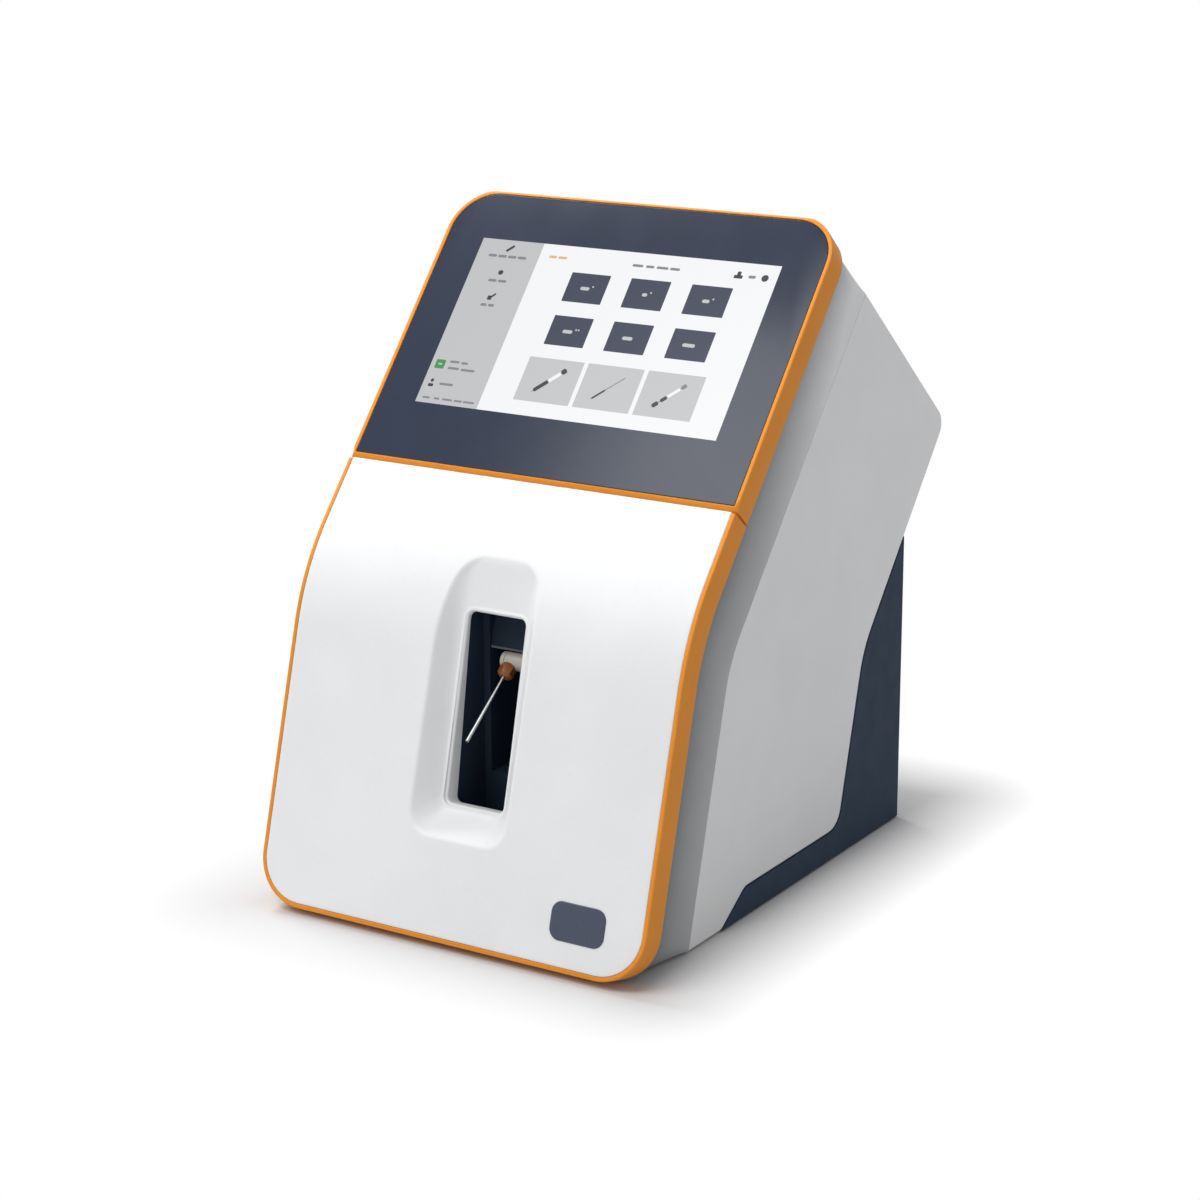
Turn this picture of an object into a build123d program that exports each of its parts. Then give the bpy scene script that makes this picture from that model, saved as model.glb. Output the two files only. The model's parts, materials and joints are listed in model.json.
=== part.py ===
from build123d import *
import math
import os

# Benchtop blood gas analyzer. Millimetres and degrees.
# +X is the user's right, +Y runs back into the machine, +Z is up, z = 0 is the table.
# The front is one wide band that leans back: a lower face (the door) and a steeper upper
# face (the screen), joined by a large bend. Places on it are given as (x, s, depth):
# s runs up the face, depth runs square into the machine.

# ---------------------------------------------------------------- driving dimensions
LOWER_TILT = 15.75        # door face, back from the vertical
UPPER_TILT = 40.7         # screen face, back from the vertical
LOWER_LEN = 145.1         # bottom inner edge of the orange ring to the bend corner
UPPER_LEN = 198.4         # bend corner to the top inner edge of the ring
BEND_R = 110.0            # radius of the bend on the outer face
CHIN_Y = 5.4              # where the bottom inner edge of the ring stands
CHIN_Z = 5.65
FACE_HALF = 96.8          # half the width inside the ring
RING_WALL = 2.0           # ring thickness seen from the front
RING_DEPTH = 12.0
RING_BEVEL = 1.4
CORNER_R = 22.0           # outer corners of the ring
FACE_GAP = 0.1            # panels inside the ring
UNDER_Z = 0.8             # underside of the housings, held off the table by the feet
RING_UNDER_Z = 1.5

SEAM_S = 57.2             # joint between door and screen unit, above the bend corner
SEAM_GAP = 0.5
STRIP = 3.0               # orange strip under the glass
DOOR_GAP = 1.0            # door ring to the frame behind it

FRAME_BACK = 50.5         # depth where the grey frame ends and the white casing starts
FRAME_HALF = 97.2         # frame half width at its front
CASE_HALF = 91.9          # casing half width
FRAME_TOP_OUT = 0.6       # frame top edge beyond the ring's inner edge, at its front
CASE_TOP_IN = 3.6         # casing top below the ring's inner edge
RIM_HALF = 86.0           # opening in the frame's front rim
RIM_DEPTH = 3.0
WALL = 3.0                # moulded housings
FRAME_CORNER_BACK_R = 2.5

UPPER_REAR = 163.1        # casing depth, square to the upper face
LOWER_REAR = 178.3        # casing depth, square to the lower face
CASE_SHELF_Z = 13.9       # casing underside above the rear housing
FOOT_REAR_Y = 85.0        # rear end of the casing's foot on the table
FOOT_ANGLE = 32.6         # slope up from that foot
REAR_TOP_R = 9.0
REAR_BEND_R = 50.0
REAR_LOW_R = 12.0
SHELF_R = 8.0
CASE_EDGE = 1.3           # bevel along the housings' outer edges
REAR_Y = 255.5            # back of the rear housing
HOUSING_HALF = 91.8
HOUSING_GAP = 0.2         # rear housing to casing

SKIN = 2.6                # door panel
DOOR_RIM = 2.3
DOOR_RIM_DEPTH = 11.8

POCKET_HALF = 25.3        # scooped recess round the sample port, on the face
POCKET_LOW_S = 41.0
POCKET_TOP_S = 164.2
POCKET_LOW_R = 11.0
POCKET_TOP_R = 13.0
FLOOR_TILT = 13.5         # flat floor of the recess
FLOOR_S = 56.0            # floor passes through (FLOOR_S, FLOOR_DEPTH)
FLOOR_DEPTH = 12.3
FLOOR_LOW_HALF = 15.8
FLOOR_TOP_HALF = 21.5
FLOOR_LOW_S = 54.3
FLOOR_LOW_R = 5.0
FLOOR_TOP_R = 12.0
POCKET_WALL = 2.3
WINDOW_HALF = 14.5        # window through the floor
WINDOW_LOW_S = 56.0
WINDOW_TOP_S = 139.0
WINDOW_R = 3.0
SLEEVE_WALL = 2.0
SLEEVE_TILT = 9.3         # plane where the window's sleeve ends
SLEEVE_S = 55.5
SLEEVE_DEPTH = 20.5

DISPLAY_W = 154.1         # lit area, a standard seven inch wide panel
DISPLAY_H = 86.3
DISPLAY_S = 131.45        # its centre above the bend corner
GLASS_T = 1.8
GLASS_SINK = 0.3

HINGE_R = 2.4             # hinge knuckles, flush with the ring's side
HINGE_DEPTH = 9.6
HINGE_PIN_R = 1.1
HINGE_LEN = 24.0
HINGE_S = (26.0, 92.0)
RUN_FIT = 0.05            # radial clearance of turning fits
KNUCKLE_GAP = 0.3

PIVOT_Y, PIVOT_Z = 63.0, 113.6    # sample probe pivot
NEEDLE_ANGLE = 36.4       # needle below the horizontal, at rest
NEEDLE_REACH = 44.1       # pivot to tip
NEEDLE_R = 0.8

DECK_DEPTH = 34.0
SHEET = 1.5

PUMP_X, PUMP_S = 54.0, 79.0
ROLLER_R = 4.0
ROLLER_RING = 13.0
ROLLERS = 3
TUBE_R = 2.0

# ---------------------------------------------------------------- frame of the front
X_DIR = Vector(1, 0, 0)


def face_axes(tilt):
    """Up-the-face and into-the-machine directions of a face that leans back by tilt."""
    a = math.radians(tilt)
    return Vector(0, math.sin(a), math.cos(a)), Vector(0, math.cos(a), -math.sin(a))


LOW_UP, LOW_IN = face_axes(LOWER_TILT)
TOP_UP, TOP_IN = face_axes(UPPER_TILT)
CHIN = Vector(0, CHIN_Y, CHIN_Z)
BEND = CHIN + LOW_UP * LOWER_LEN
TANGENT = BEND_R * math.tan(math.radians(UPPER_TILT - LOWER_TILT) / 2)


def low(x, s, depth):
    """Point from door face coordinates."""
    return CHIN + X_DIR * x + LOW_UP * s + LOW_IN * depth


def top(x, s, depth):
    """Point from screen face coordinates, s counted from the bend corner."""
    return BEND + X_DIR * x + TOP_UP * s + TOP_IN * depth


def low_plane(depth=0.0, s=0.0):
    return Plane(origin=low(0, s, depth), x_dir=X_DIR, z_dir=-LOW_IN)


def top_plane(depth=0.0, s=0.0):
    return Plane(origin=top(0, s, depth), x_dir=X_DIR, z_dir=-TOP_IN)


def cross(p, u, q, v):
    """Where the line p + u meets the line q + v, in the side view."""
    det = u.Y * -v.Z + v.Y * u.Z
    t = ((q.Y - p.Y) * -v.Z + v.Y * (q.Z - p.Z)) / det
    return p + u * t


def cut_rectangle(width, height, cut):
    """Rectangle whose corners are cut off flat."""
    x, y = width / 2, height / 2
    return make_face(Polyline((cut - x, -y), (x - cut, -y), (x, cut - y), (x, y - cut), (x - cut, y),
                              (cut - x, y), (-x, y - cut), (-x, cut - y), close=True))


def block(plane, x0, x1, s0, s1, thick, radius=0.0, cut=0.0):
    """Flat block whose front lies in plane and which reaches thick into the machine; its
    corners are square, rounded or cut off flat."""
    width, height = x1 - x0, s1 - s0
    if cut:
        shape = cut_rectangle(width, height, cut)
    elif radius:
        shape = RectangleRounded(width, height, radius)
    else:
        shape = Rectangle(width, height)
    return extrude(plane * (Pos((x0 + x1) / 2, (s0 + s1) / 2) * shape), amount=-thick)


def rod(start, direction, length, radius, bore=0.0):
    """Round bar, or a tube when it has a bore."""
    plane = Plane(origin=start, z_dir=direction)
    bar = extrude(plane * Circle(radius), amount=length)
    if bore:
        bar -= extrude(plane * Circle(bore), amount=length)
    return bar


def hex_bar(start, direction, length, across):
    """Hexagonal bar: stand-offs, screw heads and nuts."""
    flat = RegularPolygon(across / 2, 6, major_radius=False)
    return extrude(Plane(origin=start, z_dir=direction) * flat, amount=length)


def box_at(x0, x1, y0, y1, z0, z1):
    """Upright block between two corners."""
    return Pos((x0 + x1) / 2, (y0 + y1) / 2, (z0 + z1) / 2) * Box(x1 - x0, y1 - y0, z1 - z0)


def prism(points, radii, half):
    """Side-view outline with rounded corners, as wide as half on each side."""
    outline = make_face(FilletPolyline(*points, radius=radii, close=True))
    return extrude(outline, amount=half, dir=(1, 0, 0), both=True)


def bent_slab(d0, d1, s_low, s_top, half):
    """Band between two depths under the front, from s_low on the door face to s_top on
    the screen face, following the bend."""
    corner0 = cross(low(0, 0, d0), LOW_UP, top(0, 0, d0), TOP_UP)
    corner1 = cross(low(0, 0, d1), LOW_UP, top(0, 0, d1), TOP_UP)
    points = [low(0, s_low, d0), corner0, top(0, s_top, d0), top(0, s_top, d1), corner1,
              low(0, s_low, d1)]
    return prism(points, [0, BEND_R - d0, 0, 0, BEND_R - d1, 0], half)


def along(shape, direction):
    """Edges of a shape that run in a direction."""
    return shape.edges().filter_by(Axis((0, 0, 0), direction))


def front_rim(shape, seam_s):
    """Edges round the outer front face, without the one at the seam."""
    def outward(f):
        n = f.normal_at()
        return abs(n.X) < 0.1 and n.dot(-LOW_IN) > 0.6
    faces = shape.faces().filter_by(outward)
    edges = [e for f in faces for e in f.edges()]
    single = [e for e in edges if sum(e.is_same(o) for o in edges) == 1]
    return [e for e in single if abs((e.center() - BEND).dot(TOP_UP) - seam_s) > 0.5]


def below(z):
    """Everything under a height, to trim undersides level."""
    return box_at(-150, 150, -60, 400, -120, z)


# ---------------------------------------------------------------- screen unit
def screen_ring():
    """Closed orange ring round the glass, with its strip along the seam."""
    seam = SEAM_S + SEAM_GAP / 2
    outer_top = UPPER_LEN + RING_WALL
    half = FACE_HALF + RING_WALL
    ring = block(top_plane(), -half, half, seam, outer_top, RING_DEPTH)
    corners = [e for e in along(ring, TOP_IN) if (e.center() - BEND).dot(TOP_UP) > UPPER_LEN]
    ring = fillet(corners, CORNER_R)
    ring = chamfer(front_rim(ring, seam), RING_BEVEL)
    hole = block(top_plane(-1), -FACE_HALF, FACE_HALF, seam + STRIP, UPPER_LEN, RING_DEPTH + 2)
    corners = [e for e in along(hole, TOP_IN) if (e.center() - BEND).dot(TOP_UP) > UPPER_LEN - 1]
    return ring - fillet(corners, CORNER_R - RING_WALL)


def top_rounded(depth, thick, inset):
    """Plate that fills the screen ring less an inset, with its round top corners."""
    half = FACE_HALF - inset
    s_top = UPPER_LEN - inset
    plate = block(top_plane(depth), -half, half, SEAM_S + SEAM_GAP / 2 + STRIP + inset, s_top, thick)
    corners = [e for e in along(plate, TOP_IN) if (e.center() - BEND).dot(TOP_UP) > s_top - 1]
    return fillet(corners, CORNER_R - RING_WALL - inset)


def cover_glass():
    return top_rounded(GLASS_SINK, GLASS_T, FACE_GAP)


MODULE_FRONT = GLASS_SINK + GLASS_T
MODULE_W, MODULE_H, MODULE_T = 165.0, 100.0, 5.5
CARRIER_FLANGE = 3.0


def screen_carrier():
    """Black frame behind the glass that holds the display and screws to the front frame."""
    back = RING_DEPTH + DOOR_GAP
    carrier = top_rounded(MODULE_FRONT, back - MODULE_FRONT, FACE_GAP)
    carrier -= top_rounded(MODULE_FRONT + CARRIER_FLANGE, back, WALL)
    clear = 0.3
    return carrier - block(top_plane(0), -MODULE_W / 2 - clear, MODULE_W / 2 + clear,
                           DISPLAY_S - MODULE_H / 2 - clear, DISPLAY_S + MODULE_H / 2 + clear, back)


def display_module():
    """Liquid crystal panel with its thin metal surround."""
    panel = block(top_plane(MODULE_FRONT), -MODULE_W / 2, MODULE_W / 2, DISPLAY_S - MODULE_H / 2,
                  DISPLAY_S + MODULE_H / 2, MODULE_T, 1.5)
    return panel - block(top_plane(MODULE_FRONT - 0.1), -DISPLAY_W / 2, DISPLAY_W / 2,
                         DISPLAY_S - DISPLAY_H / 2, DISPLAY_S + DISPLAY_H / 2, 0.4)


BOARD_T = 1.6


DRIVER_W, DRIVER_H = 120.0, 68.0
POST_ACROSS = 5.5         # stand-offs under the circuit boards
POST_INSET = 5.0
DRIVER_POST = 3.0


def chip(plane, x, s, width, height, thick):
    """Part on a circuit board, given by its centre."""
    return block(plane, x - width / 2, x + width / 2, s - height / 2, s + height / 2, thick)


def display_board():
    """Driver board on four stand-offs behind the panel, with two plugs and its chip."""
    front = MODULE_FRONT + MODULE_T + DRIVER_POST
    board = chip(top_plane(front), 0, DISPLAY_S, DRIVER_W, DRIVER_H, BOARD_T)
    for x in (POST_INSET - DRIVER_W / 2, DRIVER_W / 2 - POST_INSET):
        for s in (POST_INSET - DRIVER_H / 2, DRIVER_H / 2 - POST_INSET):
            board += hex_bar(top(x, DISPLAY_S + s, front - DRIVER_POST), TOP_IN, DRIVER_POST, POST_ACROSS)
    rear = top_plane(front + BOARD_T)
    board += chip(rear, -8, DISPLAY_S - 26, 24, 8, 5)
    board += chip(rear, 0, DISPLAY_S + 4, 28, 24, 2.2)
    return board + chip(rear, 37, DISPLAY_S - 20, 22, 12, 4)


# ---------------------------------------------------------------- door
DOOR_TOP = SEAM_S - SEAM_GAP / 2
HINGE_X = -(FACE_HALF + RING_WALL - HINGE_R)
HINGE_CLEAR = 0.6


def hinge_notches():
    """Room in the door's left edge for both hinges."""
    front = HINGE_DEPTH - HINGE_R - HINGE_CLEAR
    cut = Part()
    for s in HINGE_S:
        cut += block(low_plane(front), -FACE_HALF - RING_WALL - 1, HINGE_X + HINGE_R + HINGE_CLEAR,
                     s - KNUCKLE_GAP, s + HINGE_LEN + KNUCKLE_GAP, RING_DEPTH + 1 - front)
    return cut


def door_ring():
    """Orange U round the door: one bent band with a bevelled front edge."""
    half = FACE_HALF + RING_WALL
    ring = bent_slab(0, RING_DEPTH, -RING_WALL, DOOR_TOP, half)
    ring = fillet(along(ring, LOW_IN), CORNER_R)
    ring = chamfer(front_rim(ring, DOOR_TOP), RING_BEVEL)
    hole = bent_slab(-1, RING_DEPTH + 1, 0, DOOR_TOP + 5, FACE_HALF)
    ring -= fillet(along(hole, LOW_IN), CORNER_R - RING_WALL)
    return ring - below(RING_UNDER_Z) - hinge_notches()


def floor_plane(sink=0.0):
    """Flat floor of the recess, or a plane sunk behind it."""
    up, into = face_axes(FLOOR_TILT)
    return Plane(origin=low(0, FLOOR_S, FLOOR_DEPTH) + into * sink, x_dir=X_DIR, z_dir=-into)


TANGENT_CUT = 2 - math.sqrt(2)   # a flat at this share of the radius touches a round corner


def cornered(points, radii, flat):
    """Closed outline with round corners, or with flats that touch them from outside."""
    if not flat:
        return make_face(FilletPolyline(*points, radius=radii, close=True))
    rim = []
    count = len(points)
    for k, radius in enumerate(radii):
        here = Vector(*points[k])
        for other in (points[k - 1], points[(k + 1) % count]):
            rim.append(here + (Vector(*other) - here).normalized() * radius * TANGENT_CUT)
    return make_face(Polyline(*rim, close=True))


def pocket(grow, front, sink):
    """Scooped recess: a loft from its outline on the face to its flat floor. grow gives
    the recess a skin, front is where the outline lies and sink is how far behind the
    floor the loft ends."""
    def outline(half_low, half_top, s_low, s_top, r_low, r_top):
        points = [(-half_low, s_low), (half_low, s_low), (half_top, s_top), (-half_top, s_top)]
        return cornered(points, [r_low, r_low, r_top, r_top], grow > 0)
    face = outline(POCKET_HALF + grow, POCKET_HALF + grow, POCKET_LOW_S - grow, POCKET_TOP_S + grow,
                   POCKET_LOW_R + grow, POCKET_TOP_R + grow)
    floor = outline(FLOOR_LOW_HALF + grow, FLOOR_TOP_HALF + grow, FLOOR_LOW_S - FLOOR_S - grow,
                    POCKET_TOP_S - FLOOR_S + grow, FLOOR_LOW_R + grow, FLOOR_TOP_R + grow)
    return loft([low_plane(front) * face, floor_plane(sink) * floor], ruled=grow > 0)


def sleeve_plane(sink=0.0):
    """Plane where the window's sleeve ends."""
    up, into = face_axes(SLEEVE_TILT)
    return Plane(origin=low(0, SLEEVE_S, SLEEVE_DEPTH) + into * sink, x_dir=X_DIR, z_dir=-into)


STRIKE_W, STRIKE_H = 8.0, 14.0     # steel plates and magnets of the door catch
STRIKE_T = 1.0
STRIKE_RIM = 1.0
STRIKE_X = 90.0
STRIKE_S = (30.0, 108.0)
STRIKE_GAP = 0.3


def door_panel():
    """White door: bent skin with a stiffening rim, the scooped recess and its window."""
    half = FACE_HALF - FACE_GAP
    radius = CORNER_R - RING_WALL - FACE_GAP
    panel = bent_slab(0, DOOR_RIM_DEPTH, FACE_GAP, DOOR_TOP, half)
    panel = fillet(along(panel, LOW_IN), radius)
    hollow = bent_slab(SKIN, DOOR_RIM_DEPTH + 1, FACE_GAP + DOOR_RIM, DOOR_TOP - DOOR_RIM,
                       half - DOOR_RIM)
    panel -= fillet(along(hollow, LOW_IN), radius - DOOR_RIM)
    inside = bent_slab(0.5, FRAME_BACK, FACE_GAP, DOOR_TOP, half)
    panel += pocket(POCKET_WALL, 0, POCKET_WALL) & inside
    sleeve = block(low_plane(FLOOR_DEPTH - 4), -WINDOW_HALF - SLEEVE_WALL, WINDOW_HALF + SLEEVE_WALL,
                   WINDOW_LOW_S - SLEEVE_WALL, WINDOW_TOP_S + SLEEVE_WALL, 20, WINDOW_R + SLEEVE_WALL)
    panel += sleeve - block(sleeve_plane(), -60, 60, -80, 160, 60)
    panel -= pocket(0, -1, 0)
    panel -= block(low_plane(0), -WINDOW_HALF, WINDOW_HALF, WINDOW_LOW_S, WINDOW_TOP_S, 40, WINDOW_R)
    seat = RING_DEPTH + DOOR_GAP - STRIKE_GAP - STRIKE_T
    for s in STRIKE_S:
        panel += block(low_plane(SKIN - 0.5), STRIKE_X - STRIKE_W / 2 - STRIKE_RIM, half - 1,
                       s - STRIKE_H / 2 - STRIKE_RIM, s + STRIKE_H / 2 + STRIKE_RIM, seat - SKIN + 0.5)
    return panel - hinge_notches()


def catch_blocks(depth, thick, grow=0.0):
    """One block of the door catch's size at each of its places."""
    return [chip(low_plane(depth), STRIKE_X, s, STRIKE_W + 2 * grow, STRIKE_H + 2 * grow, thick)
            for s in STRIKE_S]


def door_strikes():
    """Steel plates that the frame's magnets hold."""
    return Compound(catch_blocks(RING_DEPTH + DOOR_GAP - STRIKE_GAP - STRIKE_T, STRIKE_T))


BADGE_X, BADGE_S, BADGE_W, BADGE_H, BADGE_T = 65.7, 19.3, 26.5, 16.5, 0.4


def door_badge():
    """Plain plate near the door's lower right corner."""
    return block(low_plane(-BADGE_T), BADGE_X - BADGE_W / 2, BADGE_X + BADGE_W / 2,
                 BADGE_S - BADGE_H / 2, BADGE_S + BADGE_H / 2, BADGE_T, 5.0)


KNUCKLE = (HINGE_LEN - 2 * KNUCKLE_GAP) / 3
LEAF_T = 1.2


def door_hinge_leaves():
    """Door half of each hinge: two outer knuckles on a leaf behind the door's rim."""
    rim = -(FACE_HALF - FACE_GAP - DOOR_RIM)
    leaves = []
    for s in HINGE_S:
        clear = HINGE_DEPTH - HINGE_R - KNUCKLE_GAP
        leaf = block(low_plane(SKIN), rim, rim + LEAF_T, s, s + HINGE_LEN, clear - SKIN)
        for k in (s, s + 2 * (KNUCKLE + KNUCKLE_GAP)):
            leaf += block(low_plane(clear - 1), rim, rim + LEAF_T, k, k + KNUCKLE, HINGE_R + 1.3)
            leaf += block(low_plane(HINGE_DEPTH - LEAF_T), HINGE_X, rim + 0.1, k, k + KNUCKLE, LEAF_T)
            leaf += rod(low(HINGE_X, k, HINGE_DEPTH), LOW_UP, KNUCKLE, HINGE_R)
        leaves.append(leaf - rod(low(HINGE_X, s - 1, HINGE_DEPTH), LOW_UP, HINGE_LEN + 2,
                                 HINGE_PIN_R + RUN_FIT))
    return Compound(leaves)


FRAME_FRONT = RING_DEPTH + DOOR_GAP
LEAF_INNER_X = -88.6
NECK_OUT, NECK_IN = 1.5, 1.3
PIN_SHORT = 0.5


def leaf_plates(s):
    """Frame leaf of one hinge, without its knuckle."""
    mid = s + KNUCKLE + KNUCKLE_GAP
    plate = block(low_plane(FRAME_FRONT), HINGE_X + NECK_IN, LEAF_INNER_X, s + 1, s + HINGE_LEN - 1, LEAF_T)
    return plate + block(low_plane(FRAME_FRONT), HINGE_X - NECK_OUT, HINGE_X + NECK_IN + 0.1, mid,
                         mid + KNUCKLE, LEAF_T)


def frame_hinge_leaves():
    """Frame half of each hinge: the middle knuckle with its pin, on a neck and a leaf let
    into the frame."""
    leaves = []
    for s in HINGE_S:
        mid = s + KNUCKLE + KNUCKLE_GAP
        leaf = leaf_plates(s) + block(low_plane(HINGE_DEPTH), HINGE_X - NECK_OUT, HINGE_X + NECK_IN, mid,
                                      mid + KNUCKLE, FRAME_FRONT + 0.1 - HINGE_DEPTH)
        leaf += rod(low(HINGE_X, mid, HINGE_DEPTH), LOW_UP, KNUCKLE, HINGE_R)
        leaves.append(leaf + rod(low(HINGE_X, s + PIN_SHORT, HINGE_DEPTH), LOW_UP, HINGE_LEN - 2 * PIN_SHORT,
                                 HINGE_PIN_R))
    return Compound(leaves)


# ---------------------------------------------------------------- frame, casing, rear housing
LUG_S = (18.0, 66.0, 114.0)
LUG_X = (80.5, 90.0)
MAGNET_T = 3.0
MAGNET_SEAT = 1.5
CORNER_FLATS = 6


def corner_flats(plane0, x0, s0, r0, plane1, x1, s1, r1, side, up):
    """Blocks that trim a corner to a run of narrow flats, from radius r0 to radius r1."""
    def rim(plane, x, s, r):
        turns = [math.radians(90 * k / CORNER_FLATS) for k in range(CORNER_FLATS + 1)]
        return [plane.from_local_coords((side * (x - r + r * math.sin(a)), s + up * (r * math.cos(a) - r), 0))
                for a in turns]
    front, back = rim(plane0, x0, s0, r0), rim(plane1, x1, s1, r1)
    reach = 3 * (FRAME_BACK - FRAME_FRONT)
    blocks = []
    for k in range(CORNER_FLATS):
        run, deep = front[k + 1] - front[k], back[k] - front[k]
        normal = run.cross(deep) * (side * up)
        plane = Plane(origin=(front[k] + back[k + 1]) / 2, x_dir=run, z_dir=normal)
        blocks.append(extrude(plane * Rectangle(r0, reach), amount=r0))
    return blocks


def frame_side(depth):
    """Frame half width at a depth: it tapers in towards the casing."""
    t = (depth - FRAME_FRONT) / (FRAME_BACK - FRAME_FRONT)
    return FRAME_HALF + (CASE_HALF - FRAME_HALF) * t


def frame_top(depth):
    """Frame top edge at a depth, above the bend corner."""
    t = (depth - FRAME_FRONT) / (FRAME_BACK - FRAME_FRONT)
    return UPPER_LEN + FRAME_TOP_OUT - (FRAME_TOP_OUT + CASE_TOP_IN) * t


def under_s(depth):
    """Where the level underside cuts the door face direction at a depth."""
    return (UNDER_Z - low(0, 0, depth).Z) / LOW_UP.Z


def front_frame():
    """Grey frame behind both units: a tapering bent band with a rim, a bar at the seam,
    lugs for the deck and seats for hinges and magnets."""
    start = low(0, -25, 0)
    path = FilletPolyline(start, BEND, top(0, UPPER_LEN + 12, 0), radius=BEND_R)
    section = Polyline((-FRAME_HALF, FRAME_FRONT), (FRAME_HALF, FRAME_FRONT), (CASE_HALF, FRAME_BACK),
                       (-CASE_HALF, FRAME_BACK), close=True)
    band = sweep(Plane(origin=start, x_dir=X_DIR, z_dir=LOW_UP) * make_face(section), path=path)
    over = 30
    band -= prism([top(0, frame_top(FRAME_FRONT - 1), FRAME_FRONT - 1),
                   top(0, frame_top(FRAME_BACK + 1), FRAME_BACK + 1),
                   top(0, UPPER_LEN + over, FRAME_BACK + 1),
                   top(0, UPPER_LEN + over, FRAME_FRONT - 1)], [0] * 4, FRAME_HALF + 5)
    band -= below(UNDER_Z)
    d0, d1 = FRAME_FRONT - 0.5, FRAME_BACK + 0.5
    for side in (1, -1):
        trims = corner_flats(top_plane(d0), frame_side(d0), frame_top(d0), CORNER_R - 1, top_plane(d1),
                             frame_side(d1), frame_top(d1), FRAME_CORNER_BACK_R, side, 1)
        trims += corner_flats(low_plane(d0), frame_side(d0), under_s(d0), CORNER_R - 1, low_plane(d1),
                              frame_side(d1), under_s(d1), FRAME_CORNER_BACK_R, side, -1)
        for trim in trims:
            band -= trim
    depth = FRAME_BACK + 5
    floor = below(UNDER_Z + WALL)
    band -= bent_slab(FRAME_FRONT - 5, depth, 5, SEAM_S - 5, RIM_HALF) - floor
    band -= block(top_plane(FRAME_FRONT - 5), -RIM_HALF, RIM_HALF, SEAM_S + 7, UPPER_LEN - 10, depth, 12)
    behind = FRAME_FRONT + RIM_DEPTH
    cavity = bent_slab(behind, depth, 1, UPPER_LEN - CASE_TOP_IN - WALL - 0.6, CASE_HALF - WALL)
    bar = bent_slab(FRAME_FRONT, FRAME_FRONT + 10, 60, SEAM_S + 7, RIM_HALF + 3)
    bar &= block(top_plane(0), -100, 100, SEAM_S - 5, SEAM_S + 7, 60)
    band -= cavity - floor - bar
    for s in LUG_S:
        for side in (1, -1):
            x0, x1 = sorted((side * LUG_X[0], side * LUG_X[1]))
            band += block(low_plane(DECK_DEPTH + SHEET), x0, x1, s - 5, s + 5, 6)
    for s in HINGE_S:
        band -= leaf_plates(s)
        mid = s + KNUCKLE + KNUCKLE_GAP
        band -= block(low_plane(FRAME_FRONT), -FRAME_HALF - 1, HINGE_X - NECK_OUT + 0.1, mid, mid + KNUCKLE, LEAF_T)
    for seat, magnet in zip(catch_blocks(FRAME_FRONT, MAGNET_T + MAGNET_SEAT, MAGNET_SEAT),
                            catch_blocks(FRAME_FRONT, MAGNET_T)):
        band = band + seat - magnet
    return band


def frame_magnets():
    return Compound(catch_blocks(FRAME_FRONT, MAGNET_T))


BACK_DIR = Vector(0, 1, 0)
FOOT_DIR = Vector(0, math.cos(math.radians(FOOT_ANGLE)), math.sin(math.radians(FOOT_ANGLE)))
FOOT_NORMAL = Vector(0, -FOOT_DIR.Z, FOOT_DIR.Y)


def casing_lines(inset):
    """Corners of the casing's side view, moved inwards by inset, from the rear top corner
    round to the foot."""
    roof = top(0, UPPER_LEN - CASE_TOP_IN - inset, 0)
    rear_top = cross(roof, TOP_IN, top(0, 0, UPPER_REAR - inset), TOP_UP)
    rear_bend = cross(top(0, 0, UPPER_REAR - inset), TOP_UP, low(0, 0, LOWER_REAR - inset), LOW_UP)
    shelf = Vector(0, 0, CASE_SHELF_Z + inset)
    rear_low = cross(shelf, BACK_DIR, low(0, 0, LOWER_REAR - inset), LOW_UP)
    slope = Vector(0, FOOT_REAR_Y, UNDER_Z) + FOOT_NORMAL * inset
    step = cross(shelf, BACK_DIR, slope, FOOT_DIR)
    foot = cross(Vector(0, 0, UNDER_Z + inset), BACK_DIR, slope, FOOT_DIR)
    return rear_top, rear_bend, rear_low, step, foot


def casing_body(inset, front, half):
    """Casing outline as a solid, with its front at a depth that follows the bend."""
    rear_top, rear_bend, rear_low, step, foot = casing_lines(inset)
    ground = Vector(0, 0, UNDER_Z + inset)
    chin = cross(ground, BACK_DIR, low(0, 0, front), LOW_UP)
    bend = cross(low(0, 0, front), LOW_UP, top(0, 0, front), TOP_UP)
    roof = top(0, UPPER_LEN - CASE_TOP_IN - inset, front)
    return prism([roof, rear_top, rear_bend, rear_low, step, foot, chin, bend],
                 [0, max(REAR_TOP_R - inset, 1), REAR_BEND_R + inset, REAR_LOW_R - inset,
                  SHELF_R + inset, 0, 0, BEND_R - front], half)


CABLE_PASS = (60.0, 78.0, 128.0)     # half width, low and high s on the rear lower wall
VENT_ROWS, VENT_PITCH, VENT_SLOT = 6, 8.0, 3.2


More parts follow.
